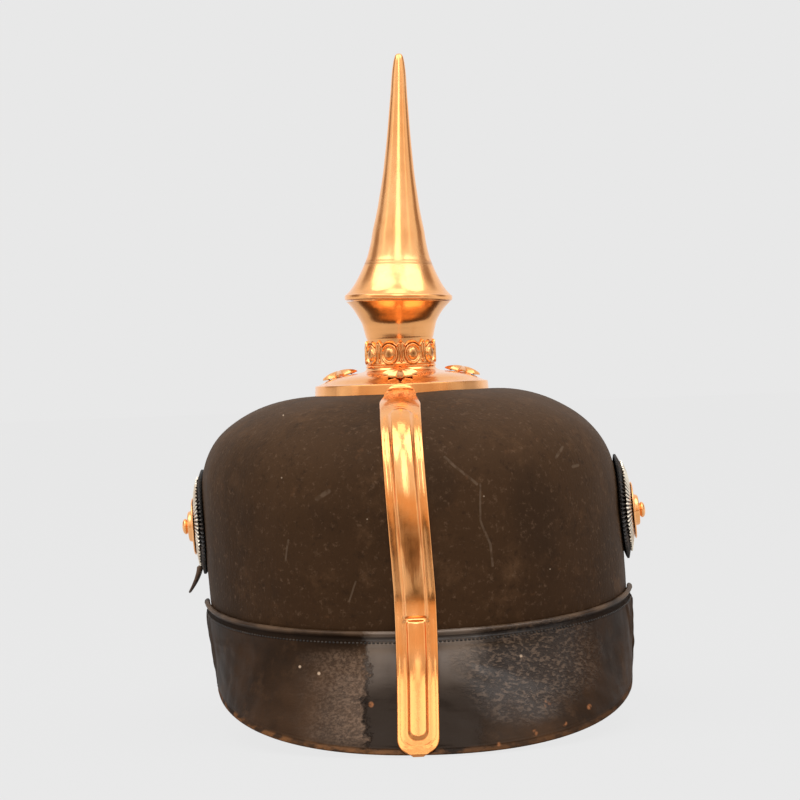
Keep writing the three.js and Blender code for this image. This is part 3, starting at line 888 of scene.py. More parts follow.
@dataclass(frozen=True)
class Spine:
    """The brass strip down the back, from the base plate's rim to the rear visor's edge."""

    half_width: float = 8.8
    shoulder: float = 9.6
    tongue: float = 6.0
    corner: float = 8.0
    corner_cut: float = 6.3
    sheet: float = 0.9
    ridge: float = 2.2
    ridge_half: float = 5.6
    arch_z: float = 151.9
    skirt: float = 39.5
    lead: float = 5.0
    shoulder_z: float = 145.6
    panel_z: float = 139.6
    step_z: float = 54.0
    rib_end_z: float = 5.6
    rib_half: float = 4.5
    rib_height: float = 1.7
    leave: float = 11.0
    on_visor: tuple[float, float] = (0.20, 0.96)
    bow: float = 3.6
    bow_z: float = 66.0
    window: int = 41
    steps: tuple[int, int] = (84, 460)

    def path(self) -> Array:
        """The strip's seat.

        Returns:
            [y, z] points from its top end on the base plate's rim, down over the crown, straight across
            to the rear visor, and down that and round under its edge, with the corners cut round.
        """
        top = CROWN.top_z + GAP
        start = [[self.skirt, self.arch_z], [self.skirt, top + 2.4], [self.skirt + 1.1, top + 0.7]]
        y0 = self.skirt + self.lead
        up = (1 - (y0 / CROWN.half_rear) ** CROWN.power) ** (1 / CROWN.power)
        first, last = CROWN.belt_z + CROWN.dome * up, REAR_VISOR.top_rear + self.leave
        w = np.linspace(CROWN.down_to(first), CROWN.down_to(last), 90)
        over = CROWN.lifted(0.0 * w, w, GAP + 0.0 * w)[:, 1:]
        hanging = np.linspace(*self.on_visor, 26)
        lift = GAP + REAR_VISOR.wall + GAP
        down = REAR_VISOR.face(0 * hanging, np.ones(26), hanging, lift + 0 * hanging)[:, 1:]
        edge = REAR_VISOR.face(np.zeros(2), np.ones(2), np.ones(2), np.array([lift, GAP]))[:, 1:]
        under = [[edge[0, 0], self.sheet], [edge[1, 0], self.sheet]]
        return rounded(np.concatenate([start, over, down, under]), 3)

    def half(self, run: Array, marks: dict[str, float]) -> Array:
        """Half the strip's width: a round tongue, two shoulders, then straight to two round corners.

        Args:
            run: The distance from the top end.
            marks: Where along the strip its features are.

        Returns:
            One width for each distance. The corners are quarter ellipses.
        """
        end = np.clip(run / 4.2, 0, 1)
        tongue = self.tongue * np.sqrt(end * (2 - end))
        spreading = smooth((run - 2.4) / (marks["shoulder"] - 5.5)) ** 1.2
        spread = tongue + (self.shoulder - self.tongue) * spreading
        narrowing = smooth((run - marks["shoulder"]) / (marks["panel"] - marks["shoulder"]))
        corner = np.clip((run - marks["low"]) / self.corner + 1, 0, 1)
        clip = self.corner_cut * (1 - np.sqrt(1 - corner**2))
        return spread - (self.shoulder - self.half_width) * narrowing - clip

    def relief(self, x: Array, run: Array, marks: dict[str, float]) -> Array:
        """The height of the pressed relief over the flat sheet.

        Args:
            x: The distance from the middle line.
            run: The distance from the top end.
            marks: Where along the strip its features are.

        Returns:
            A soft crown over the rim, then a round-topped ridge from the panel's arch to the step,
            then a narrower rib with a round end, with a hollow beside each and a raised border.
        """
        side = np.abs(x)
        panel = marks["panel"] + self.ridge_half
        start = np.hypot(x, np.maximum(panel - run, 0))
        before = smooth((marks["step"] - run) / 0.9)
        after = smooth((run - marks["step"] - 0.7) / 0.9)
        top = 0.62 + 0.38 * np.clip(1 - (start / 4.6) ** 2, 0, 1)
        ridge = self.ridge * smooth((self.ridge_half - start) / 1.9) * top * before
        dome = 1.5 * np.clip(1 - (side / 9.0) ** 2, 0, 1) * smooth((panel + 3.0 - run) / 22.0)
        crescent = 0.22 * bump(start - self.ridge_half - 1.5, 0.6) * bump(x, 2.6) * (run < panel)
        tail = marks["rib_end"] - self.rib_half
        reach = np.hypot(x, np.maximum(run - tail, 0))
        rib_top = 0.8 + 0.2 * np.clip(1 - (side / 3) ** 2, 0, 1)
        rib = self.rib_height * smooth((self.rib_half - reach) / 1.5) * rib_top
        groove_at = mix(self.ridge_half + 0.35, 6.0, smooth((run - marks["step"]) / 8))
        bowl = np.hypot(x, np.maximum(run - marks["rib_end"] + 3.6, 0))
        groove = -0.13 * bump(bowl - groove_at, 0.5) * smooth((run - panel) / 5)
        floor = -0.2 * smooth((groove_at - bowl) / 0.8) * after
        border = 0.34 * bump(bowl - 7.6, 1.2) * smooth((run - marks["panel"]) / 14)
        return ridge + dome + crescent + rib * after + groove + floor + border

    def eased(self, seat: Array, stations: Array) -> Array:
        """The seat with its bends eased, except near its two ends.

        Args:
            seat: The seat's points.
            stations: Their distances from the top end.

        Returns:
            Each point's weighted mean with its neighbours, under a raised cosine window.
        """
        window = np.hanning(self.window) / np.hanning(self.window).sum()
        means = np.stack([np.convolve(seat[:, k], window, "same") for k in range(2)], axis=1)
        inside = smooth((stations - 12) / 5) * smooth((stations[-1] - 14 - stations) / 5)
        return mix(seat, means, inside[:, None])

    def build(self, brass: Material) -> None:
        """Makes the strip.

        Args:
            brass: Its material.
        """
        path = self.path()
        total = np.linalg.norm(np.diff(path, axis=0), axis=1).sum()
        columns, rows = self.steps
        end, end_rows = 4.0, 40
        first = np.linspace(0, end, end_rows) ** 2 / end
        stations = np.concatenate([first, np.linspace(end, total, rows - end_rows + 1)[1:]])
        seat = self.eased(along(path, stations), stations)
        tangent = unit(np.gradient(seat, stations, axis=0))
        normal = np.stack([-tangent[:, 1], tangent[:, 0]], axis=1)
        height = np.where(stations > 8, seat[:, 1], 1000.0)
        places = {"shoulder": self.shoulder_z, "panel": self.panel_z, "step": self.step_z,
                  "rib_end": self.rib_end_z, "low": self.sheet + 0.2}
        marks = {name: float(np.interp(-z, -height, stations)) for name, z in places.items()}
        widest = math.pi / 2 * 0.94
        share = np.sin(np.linspace(-1, 1, columns + 1) * widest) / math.sin(widest)
        across, row = grid(share, np.arange(len(stations)))
        run = stations[row]
        half = self.half(run, marks)
        x = across * half
        hook = smooth((run - (total - 5.5)) / 1.5)
        bent = mix(1 / 79, 1 / 180, smooth((run - 3) / 14)) * (1 - hook)
        roll = self.sheet * (0.4 + 0.6 * rounding((half - np.abs(x)) / 0.6))
        start = rounding(run / 1.4)
        worn = 0.05 * rumple(np.stack([x, run, 0 * x], axis=-1), 30, 21)
        relief = self.relief(x, run, marks)
        lift = roll * mix(0.3, 1.0, start) + (relief + worn) * (1 - hook) * smooth(run / 5.0)

        def sheet(off: Array) -> Array:
            """One face of the strip, which follows the crown across its width and bows aside below.

            Args:
                off: The distance off the seat.

            Returns:
                Its points.
            """
            off = off - x**2 * bent
            y, z = (seat[row, k] + normal[row, k] * off for k in range(2))
            return stack(x + self.bow * np.maximum(0, 1 - z / self.bow_z) ** 1.3, y, z)

        hollow = np.clip(-0.6 * (relief - 0.1), 0, 1)
        maps = np.stack([x * MM, run * MM], axis=-1)
        shape = Shape().wall(sheet(lift), sheet(0.0 * lift), maps=maps, mark=hollow)
        finish_piece("rear_spine_strip", shape, [brass], "rear_spine", 44)


# ---- base plate, neck and spike


@dataclass(frozen=True)
class BasePlate:
    """The round brass plate on the crown's top: an upright rim, a ledge and a low cone."""

    radius: float = 39.2
    sheet: float = 1.1
    skirt: float = 4.7
    cone_foot: float = 35.0
    cone_top: float = 16.4
    cone_rise: float = 4.1
    steps: int = 256

    @property
    def foot_z(self) -> float:
        """The height of the rim's foot."""
        return CROWN.top_z + GAP

    @property
    def ledge_z(self) -> float:
        """The height of the ledge."""
        return self.foot_z + self.skirt

    def build(self, brass: Material) -> None:
        """Makes the plate, with a rim that is not quite true.

        Args:
            brass: Its material.
        """
        r, z, foot = self.radius, self.ledge_z, self.foot_z
        thin, peak = z - self.sheet, z + self.cone_rise
        corner = curve([(r - 0.10, z - 0.55), (r - 0.24, z - 0.16), (r - 0.6, z)], 10)
        rim = np.concatenate([[[r - self.sheet, foot], [r + 0.20, foot], [r - 0.08, z - 0.75]], corner])
        ledge = [(r - 0.6, z), (37.4, z + 0.25), (35.6, z + 1.1), (33.2, z + 2.35)]
        slope = [(30, z + 3.5), (26, z + 4.35), (21, z + 5.0), (17.8, z + 5.5)]
        seat = [(16.3, z + 6.1), (15.7, z + 7.0)]
        cone = curve(ledge + slope + seat, 70)
        over = np.concatenate([rim, cone[1:], [[15.65, peak], [0.0, peak]]])
        under = np.array([[r - self.sheet, foot], [r - self.sheet, thin], [self.cone_foot, thin],
                          [self.cone_top, peak - self.sheet], [0.0, peak - self.sheet]])
        outer = turned(over, self.steps)
        warp = 0.14 * rumple(outer, 30, 31) + 0.05 * rumple(outer, 11, 32)
        out = unit(outer * [1, 1, 0] + 1e-9)
        warp = warp * smooth((np.hypot(outer[..., 0], outer[..., 1]) - 24) / 14)
        outer = outer + out * warp[..., None]
        upright = smooth((np.hypot(outer[..., 0], outer[..., 1]) - r + 1.2) / 0.8)
        stains = np.clip(0.02 + 0.16 * rumple(outer, 26, 33), 0, 1)
        inner = turned(under, self.steps)
        inner[:, 0] = outer[:, 0]
        shape = Shape().sheet(outer, mark=upright * stains).sheet(inner, turn=True)
        shape.sheet(np.stack([outer[:, -1], inner[:, -1]], axis=1))
        finish_piece("base_plate", shape, [brass], "spike_base", 46)


@dataclass(frozen=True)
class StarStud:
    """A domed eight-pointed star that covers a screw, with a crease down each ray."""

    points: int = 8
    tip: float = 8.1
    valley: float = 5.6
    dome: float = 2.3
    sheet: float = 0.6
    at: float = 27.7
    slope: float = math.radians(13.0)
    count: int = 4

    def build(self, brass: Material, plate: BasePlate) -> None:
        """Makes the studs at even turns round the cone.

        Args:
            brass: Their material.
            plate: The plate that they sit on.
        """
        turn, share = turns_and_shares(self.points * 16, 32)
        from_ray = off_ray(turn, self.points)
        radius = share * mix(self.tip, self.valley, from_ray**0.7)
        crease = 0.30 * (1 - from_ray) * smooth(share * 1.2)
        height = self.dome * (1 - share**2.0) + crease - 0.22 * from_ray * share**2
        edge = rounding((1 - share) / 0.05)
        thick = self.sheet * mix(0.35, 1, edge)
        outer, inner = polar(radius, turn, height + thick), polar(radius, turn, height)
        mark = 0.22 * from_ray * smooth(share * 1.5)
        for index in range(self.count):
            place = (
                Matrix.Rotation(index * TURN / self.count, 4, "Z")
                @ Matrix.Translation((self.at, 0, plate.ledge_z + 3.95))
                @ Matrix.Rotation(self.slope, 4, "Y")
            )
            spin, shift = np.array(place.to_3x3()).T, np.array(place.to_translation())
            shape = Shape().wall(outer @ spin + shift, inner @ spin + shift, ring=True, mark=mark)
            finish_piece(f"star_stud_{index + 1}", shape, [brass], f"base_stud_{index + 1}", 34)


@dataclass(frozen=True)
class Neck:
    """The brass socket that the spike sits in: a collar, a plain drum and a flared mouth."""

    foot_z: float = 156.0
    top: float = 188.1

    def build(self, brass: Material) -> None:
        """Makes the neck, bored through to take the spike's stem.

        Args:
            brass: Its material.
        """
        low, top = self.foot_z - 0.1, self.top
        collar = [[15.6, low], [15.6, 158.8], [15.9, 159.3], [15.9, 159.9], [15.5, 160.3]]
        drum = [[15.0, 160.6], [15.0, 172.0]]
        bell = [(15.2, 172.4), (15.6, 174.0), (16.2, 176.6), (17.0, 179.5), (18.6, 182.3), (20.7, 185.1)]
        flare = curve(bell + [(23.4, top - 0.25)], 60)
        lip = rounded(np.array([[23.4, top - 0.25], [23.8, top], [22.9, top + 0.05], [22.5, top - 0.4]]))
        socket = [[19.2, 184.6], [15.6, 181.4], [9.9, 181.4], [9.9, 180.0]]
        inside = [[14.0, 178.0], [14.0, low], [15.6, low]]
        sheet = turned(np.concatenate([collar, drum, flare, lip, socket, inside]), 224)
        sheet[..., :2] *= (1 + 0.0035 * rumple(sheet, 17, 41) * smooth((sheet[..., 2] - 172) / 3))[..., None]
        sheet[..., 2] += 0.75 * (1 + sheet[..., 0] / 24) * smooth((sheet[..., 2] - 180) / 8)
        finish_piece("neck_socket", Shape().sheet(sheet), [brass], "spike_neck", 40)


@dataclass(frozen=True)
class PearlRing:
    """The pressed band round the neck: ovals with domed middles, and pointed darts between them."""

    count: int = 9
    first: float = math.radians(18)
    low_z: float = 160.2
    radius: float = 15.35
    inner: float = 15.05
    oval_z: float = 165.1
    oval: tuple[float, float] = (4.0, 4.65)
    gable_z: float = 171.5
    dart_z: tuple[float, float] = (161.0, 169.8)
    steps: tuple[int, int] = (648, 66)

    def border(self, aside: Array, pitch: float) -> Array:
        """The height of the upper edge: a round arch over each oval and a gable over each dart.

        Args:
            aside: The distance from the nearest oval's middle.
            pitch: The distance between ovals.

        Returns:
            The higher of a half ellipse and two straight slopes.
        """
        half_w, half_h = self.oval[0] + 0.9, self.oval[1] + 1.25
        arch = self.oval_z + half_h * np.sqrt(np.clip(1 - (aside / half_w) ** 2, 0, 1))
        gable = self.gable_z - 1.15 * np.abs(pitch / 2 - aside)
        return np.maximum(arch, gable)

    def build(self, brass: Material) -> None:
        """Makes the ring as one height field round the neck.

        Args:
            brass: Its material.
        """
        phi, share = turns_and_shares(*self.steps)
        pitch = TURN * (self.radius + 0.6) / self.count
        aside = off_ray(phi - self.first, self.count) / 2 * pitch
        border = self.border(aside, pitch)
        z = mix(self.low_z, border, share)
        q = np.hypot(aside / self.oval[0], (z - self.oval_z) / self.oval[1])
        rim = 0.85 * bump(q - 0.90, 0.10)
        pearl = 1.1 * np.sqrt(np.clip(1 - (q / 0.60) ** 2, 0, 1))
        moat = -0.16 * bump(q - 1.08, 0.06)
        dart, line = self.dart(np.abs(pitch / 2 - aside), z, q)
        bead = 0.75 * bump(border - z - 0.55, 0.42) + 0.45 * bump(z - self.low_z - 0.4, 0.32)
        relief = np.maximum.reduce([rim, pearl, dart, bead]) + moat
        # Dark marks: dirt round the moat, the darts and the upper bead, and a painted reflection, the dark
        # spot in each domed pearl's middle (0.95 * bump(q, 0.33)).
        hollow = np.maximum.reduce([0.8 * bump(q - 1.06, 0.05), 0.95 * bump(q, 0.33), line,
                                    0.5 * bump(q - 0.68, 0.04), 0.5 * bump(border - z - 1.3, 0.22)])
        r = self.radius + np.clip(relief, -0.2, 1.2)
        outer = stack(r * np.sin(phi), r * np.cos(phi), z)
        back = stack(self.inner * np.sin(phi), self.inner * np.cos(phi), z)
        sheets = np.concatenate([outer, back[:, -1:], back[:, :1], outer[:, :1]], axis=1)
        dirt_and_pearl_reflections = np.concatenate([hollow, 0 * hollow[:, :2], hollow[:, :1]], axis=1)
        finish_piece("pearl_band", Shape().sheet(sheets, mark=dirt_and_pearl_reflections), [brass], "pearl_ring", 60)

    def dart(self, beside: Array, z: Array, q: Array) -> tuple[Array, Array]:
        """The waisted darts between the ovals, each creased down its middle.

        Args:
            beside: The distance from the nearest dart's middle line.
            z: The height.
            q: The distance from the oval's middle, as a share of its size.

        Returns:
            The darts' height, and a dark line round each.
        """
        low, high = self.dart_z
        up = np.clip((z - low) / (169.6 - low), 0, 1)
        half = np.interp(up, [0, 0.07, 0.14, 0.22, 0.5, 0.8, 1.0], [0.0, 0.75, 1.05, 0.7, 0.72, 1.25, 1.85])
        height = 0.7 * smooth((half - beside) / 0.4) - 0.42 * bump(beside, 0.2) * smooth((half - 0.3) / 0.3)
        here = (z > low) & (z < high)
        return np.where(here & (q > 1.0), height, 0.0), 0.6 * bump(beside - half, 0.16) * here


@dataclass(frozen=True)
class Spike:
    """The tall spike on its disc, cocked in the socket."""

    underside: float = 188.4
    disc: float = 24.5
    edge: float = 2.2
    stem: float = 9.2
    stem_depth: float = 9.4
    cocked: float = 2.3
    engraved_z: float = 204.6

    def build(self, brass: Material) -> None:
        """Makes the spike from its outline, then leans it over on the disc's edge.

        Args:
            brass: Its material.
        """
        tip = [(0.0, 300.5), (0.9, 300.3), (1.65, 299.6)]
        shaft = [(2.15, 298.2), (2.6, 296.0), (3.2, 291.2), (3.75, 283.0), (4.2, 277.5), (4.85, 269.3),
                 (5.55, 261.2), (6.4, 253.0), (7.35, 244.8), (8.6, 236.6), (9.45, 231.2), (10.5, 225.7)]
        bell = [(11.7, 220.2), (12.6, 214.8), (13.9, 209.3), (14.8, 206.6), (15.9, 203.9), (17.1, 201.2),
                (18.5, 198.4), (20.1, 195.6), (22.1, 192.8), (23.9, 190.9)]
        over = curve(tip + shaft + bell, 300)
        from_ring = over[:, 1] - self.engraved_z
        over[:, 0] -= 0.13 * (bump(from_ring, 0.22) + bump(from_ring - 1.2, 0.22))
        low, disc, deep = self.underside, self.disc, self.underside - 1.6
        rim = rounded(np.array([[23.9, 190.9], [disc, low + self.edge], [disc, low], [disc - 1.2, low]]))
        end = low - self.stem_depth
        under = np.array([[20.9, low], [20.9, deep], [self.stem, deep], [self.stem, end], [0.0, end]])
        outline = np.concatenate([over, rim, under])
        points = turned(outline, 176)
        wave = 0.0028 * rumple(points * [1, 1, 0.35], 14, 51)
        points[..., :2] *= (1 + wave)[..., None]
        lean = math.radians(self.cocked)
        x, z = points[..., 0] + disc, points[..., 2] - low
        leaned = stack(x * math.cos(lean) - z * math.sin(lean) - disc, points[..., 1],
                       x * math.sin(lean) + z * math.cos(lean) + low)
        engraved = bump(outline[:, 1] - self.engraved_z - 0.6, 1.0) * (outline[:, 0] > 12) * 0.35
        mark = np.broadcast_to(engraved, leaned.shape[:2])
        finish_piece("spike_shaft", Shape().sheet(leaned, mark=mark), [brass], "spike", 40)


# ---- cockades


@dataclass(frozen=True)
class Cockade:
    """A pleated disc, a toothed silver ring and a stepped brass boss at the side of the crown."""

    side: Side
    seat: float
    dome: float
    z: float = 92.6
    boss_drop: float = 1.9
    radius: float = 23.6
    sheet: float = 0.8
    bore: float = 2.8
    pleats: int = 72
    teeth: int = 64
    ring: tuple[float, float] = (9.0, 19.4)
    ring_sheet: float = 0.6

    def out(self, points: Array) -> Array:
        """Points made along +Z as points at the crown's side, bent back to follow the crown.

        Args:
            points: Points whose Z is the distance off the crown.

        Returns:
            The points in place.
        """
        sign = self.side.value
        x, y, z = points[..., 0], points[..., 1], points[..., 2]
        height = self.z - sign * x
        up = np.clip((height - CROWN.belt_z) / CROWN.dome, 0, 1)
        level = np.sqrt(np.clip(1 - (y / CROWN.half_rear) ** 2, 0, 1))
        behind = CROWN.half_width * (1 - level * (1 - up**CROWN.power) ** (1 / CROWN.power))
        return stack(sign * (CROWN.half_width + z - behind), CROWN.widest_back + y, height)

    def face(self, r: Value) -> Value:
        """How far the disc's face stands out at a distance from its middle."""
        return self.seat + self.dome * (1 - (r / self.radius) ** 2) + self.sheet

    def pleated(self, low: float, high: float, lift: float, thick: float, count: int, depth: float) -> Shape:
        """A ring with folded pleats and a toothed edge.

        Args:
            low: Its inner radius.
            high: Its outer radius.
            lift: How far its back stands off the disc's face.
            thick: Its thickness.
            count: How many pleats it has.
            depth: How deep a pleat is at the edge.

        Returns:
            The ring's closed shape, with each pleat's height |saw| growing towards the edge.
        """
        turn, share = turns_and_shares(count * 8, 24)
        saw = np.abs((turn / TURN * count) % 1 * 2 - 1)
        saw = mix(saw, smooth(saw), 0.6)
        r = mix(low, high, share)
        r = r - 0.9 * depth * (1 - saw) * smooth((share - 0.8) / 0.2) * 1.6
        fold = depth * (saw - 0.5) * smooth((share - 0.05) / 0.5)
        z = self.face(r) + lift + fold
        outer, inner = polar(r, turn, z + thick), polar(r, turn, z)
        mark = mix(1.0, saw, smooth((share - 0.30) / 0.25))
        return Shape().wall(self.out(outer), self.out(inner), ring=True, mark=mark)

    def boss(self) -> Shape:
        """The stepped boss with its knob, turned round the cockade's middle.

        Returns:
            Its closed shape, from the post at the leather to the knob's top.
        """
        back = self.face(self.ring[0]) + GAP + self.ring_sheet + GAP
        front = back + 0.9
        flange = [[2.3, GAP], [2.3, back], [12.8, back], [12.8, front], [11.4, front + 0.1]]
        dish = [[10.8, front - 0.15], [7.6, front - 0.1], [7.1, front + 0.1]]
        step = [[6.7, front + 1.9], [5.6, front + 2.1], [4.6, front + 2.0]]
        neck = [(3.4, front + 2.05), (2.8, front + 2.3), (3.4, front + 2.9), (3.5, front + 3.5)]
        knob = curve(neck + [(2.8, front + 4.3), (1.3, front + 4.75), (0.0, front + 4.8)], 30)
        outline = np.concatenate([[[0.0, GAP]], rounded(np.array(flange + dish + step)), knob])
        return Shape().sheet(self.out(turned(outline, 96)) - [0.0, 0.0, self.boss_drop])

    def build(self, lacquer: Material, silver: Material, brass: Material) -> None:
        """Makes the cockade's three pieces.

        Args:
            lacquer: The disc's material.
            silver: The ring's material.
            brass: The boss's material.
        """
        disc = self.pleated(self.bore, self.radius, -self.sheet, self.sheet, self.pleats, 0.9)
        ring = self.pleated(self.ring[0], self.ring[1] + 1.0, GAP + 0.25, self.ring_sheet, self.teeth, 0.7)
        for part, shape, material, node, slot, sharp in (
            ("pleats", disc, lacquer, "cockade_disc", Slot.LACQUER, 30),
            ("teeth", ring, silver, "cockade_ring", Slot.SILVER, 30),
            ("boss", self.boss(), brass, "rosette", Slot.BRASS, 44),
        ):
            side = self.side.label
            finish_piece(f"cockade_{part}_{side}", shape, [material], f"{node}_{side}", sharp)


# ---- strap


@dataclass(frozen=True)
class StrapTab:
    """The worn strap end that hangs out below the left cockade."""

    top_z: float = 73.0
    tip_z: float = 60.5
    half_width: float = 5.5
    sheet: float = 1.4
    root_lift: float = 2.6
    tip_lift: float = 8.6

    def build(self, leather: Material) -> None:
        """Makes the tab: a leaf that narrows to a ragged tip and curls outwards.

        Args:
            leather: Its material.
        """
        share, across = grid(np.linspace(0, 1, 61), np.linspace(-1, 1, 31))
        half = self.half_width * (1 - 0.72 * share**2.2) * (1 + 0.05 * np.sin(share * 23) * share)
        z = mix(self.top_z, self.tip_z, share) + 0.8 * across**2 * share
        out = mix(self.root_lift, self.tip_lift, share**1.7) + 0.9 * across**2 * (1 - share) * share * 2
        edge = np.minimum((1 - np.abs(across)) * half, np.minimum(share, 1 - share) * 13) / 0.6
        thick = self.sheet * (1.7 - 1.1 * share)
        fill = rounding(edge) * thick / 2
        y = CROWN.widest_back + across * half
        middle = CROWN.half_width + out + self.sheet / 2
        outer, inner = stack(middle + fill, y, z), stack(middle - fill, y, z)
        shape = Shape().wall(outer, inner, mark=1 - np.clip(edge / 2, 0, 1))
        finish_piece("strap_tab_leather", shape, [leather], "strap_tab_left", 60)


@dataclass(frozen=True)
class ChinStrap:
    """The leather strap that goes round the front above the visor, with its brass scales and buckle."""

    start_gap: float = 25.7
    end_z: float = 68.0
    start_z: float = 91.0
    half_start: float = 6.0
    half_end: float = 5.0
    sheet: float = 0.9
    buckle_share: float = 0.049
    scales: int = 11
    overlap: float = 1.5
    scale_start: float = 10.5
    scale_end: float = 7.5
    scale_sheet: float = 0.7
    curve_of: float = 0.011
    bow: float = 0.35
    reach: float = 140.0

    def phi(self, side: Side, s: Array) -> Array:
        """The direction at a share of the way from the cockade to the brow."""
        start = math.pi / 2 + math.asin(self.start_gap / CROWN.half_front)
        return side.value * mix(start, math.pi, s)

    def z(self, s: Array) -> Array:
        """The height of the strap's middle line."""
        return mix(self.start_z, self.end_z, smooth(s * 1.25))

    def band(self, side: Side) -> Shape:
        """One half of the strap, with rounded edges.

        Args:
            side: The side of the helmet.

        Returns:
            Its closed shape.
        """
        s, v = grid(np.linspace(0, 1 - self.buckle_share, 141), np.sin(np.linspace(-1, 1, 25) * math.pi / 2))
        half = mix(self.half_start, self.half_end, s)
        fill = np.sqrt(np.clip(1 - np.clip((np.abs(v) - 0.9) / 0.1, 0, 1) ** 2, 0, 1)) * self.sheet / 2
        w = CROWN.down_to(self.z(s) + v * half)
        core = GAP + self.sheet / 2
        outer = CROWN.lifted(self.phi(side, s), w, core + fill)
        inner = CROWN.lifted(self.phi(side, s), w, core - fill)
        return Shape().wall(outer, inner)

    def scale(self, side: Side, index: int) -> Shape:
        """One scale: crowned across, with a raised rim round its free end.

        Args:
            side: The side of the helmet.
            index: The scale's number, from the cockade.

        Returns:
            Its closed shape, which rests on the next scale.
        """
        pitch = (1 - 1.3 * self.buckle_share) / (self.scales + self.overlap - 1)
        size = mix(self.scale_start, self.scale_end, index / (self.scales - 1))
        u, across = grid(np.linspace(0, 1, 29), np.sin(np.linspace(-1, 1, 37) * math.pi / 2))
        reach = self.overlap - self.bow * across**2
        local = u * reach
        half = across * size
        s = (index + local) * pitch
        crowned = self.curve_of * (self.half_start**2 - half**2)
        stand = GAP + self.sheet + GAP + (self.scale_sheet + GAP) * local + crowned
        free = (reach - local) * pitch * self.reach
        near = np.minimum(free, (1 - np.abs(across)) * size)
        bead = 0.35 * bump(near - 0.9, 0.5)
        w = CROWN.down_to(self.z(s) + half)
        thick = self.scale_sheet * mix(0.5, 1, smooth(near / 0.4)) + bead
        outer = CROWN.lifted(self.phi(side, s), w, stand + thick)
        inner = CROWN.lifted(self.phi(side, s), w, stand)
        return Shape().wall(outer, inner, mark=0.5 * bump(near - 2.0, 0.8))

    def buckle(self) -> Shape:
        """The plain frame that joins the two halves: a rounded path with a rounded section.

        Returns:
            A ring whose path is a superellipse of power 7 and whose section is an ellipse.
        """
        turn, around = grid(np.linspace(0, TURN, 129), np.linspace(0, TURN, 17))
        power = 2 / 7
        cos, sin = np.cos(turn), np.sin(turn)
        px = 4.1 * np.sign(cos) * np.abs(cos) ** power
        pz = 8.1 * np.sign(sin) * np.abs(sin) ** power
        run = unit(np.stack(np.gradient(np.stack([px[:, 0], pz[:, 0]]), axis=1), axis=-1))
        out = np.stack([run[:, 1], -run[:, 0]], axis=1)[:, None, :]
        x = px + out[..., 0] * 0.9 * np.cos(around)
        z = pz + out[..., 1] * 0.9 * np.cos(around)
        y = -CROWN.half_front - GAP - 1.4 + 1.15 * np.sin(around)
        return Shape().sheet(stack(x, y, z + self.end_z))

    def build(self, leather: Material, brass: Material) -> None:
        """Makes the strap's halves, its scales and the buckle.

        Args:
            leather: The strap's material.
            brass: The scales' and the buckle's material.
        """
        for side in Side:
            name = f"chin_strap_{side.label}"
            finish_piece(f"strap_leather_{side.label}", self.band(side), [leather], name, 60)
            for index in range(self.scales):
                node = f"strap_scale_{side.label}_{index + 1}"
                shape = self.scale(side, index)
                finish_piece(f"brass_scale_{side.label}_{index + 1}", shape, [brass], node, 50)
        finish_piece("buckle_frame", self.buckle(), [brass], "strap_buckle", 50)


@dataclass(frozen=True)
class FrontPlate:
    """A plain rayed plate over the brow, with a raised round boss."""

    z: float = 108.0
    points: int = 8
    tip: float = 28.0
    valley: float = 16.0
    sheet: float = 1.0
    boss: float = 3.4
    lift: float = 0.9
    arc: float = 96.0

    def build(self, brass: Material) -> None:
        """Makes the plate, whose rays are each creased along the middle.

        Args:
            brass: Its material.
        """
        turn, share = turns_and_shares(self.points * 24, 60)
        from_ray = off_ray(turn, self.points)
        r = share * mix(self.tip, self.valley, from_ray)
        w = CROWN.down_to(self.z + r * np.cos(turn))
        phi = math.pi + r * np.sin(turn) / self.arc
        ray = 1.3 * (1 - from_ray) * smooth((share - 0.3) / 0.25) * smooth((1.05 - share) / 0.3)
        boss = self.boss * smooth(1.9 - 3.4 * r / 20) + 0.5 * bump(r - 12.5, 0.7)
        edge = self.sheet * mix(0.4, 1, smooth((1 - share) / 0.03))
        outer = CROWN.lifted(phi, w, self.lift + edge + ray + boss)
        inner = CROWN.lifted(phi, w, self.lift + 0 * r)
        hollow = 0.6 * bump(r - 14.2, 1.4) + 0.4 * from_ray * smooth((share - 0.4) / 0.3)
        shape = Shape().wall(outer, inner, ring=True, mark=hollow)
        finish_piece("rayed_plate", shape, [brass], "front_plate", 40)


# ---- node tools


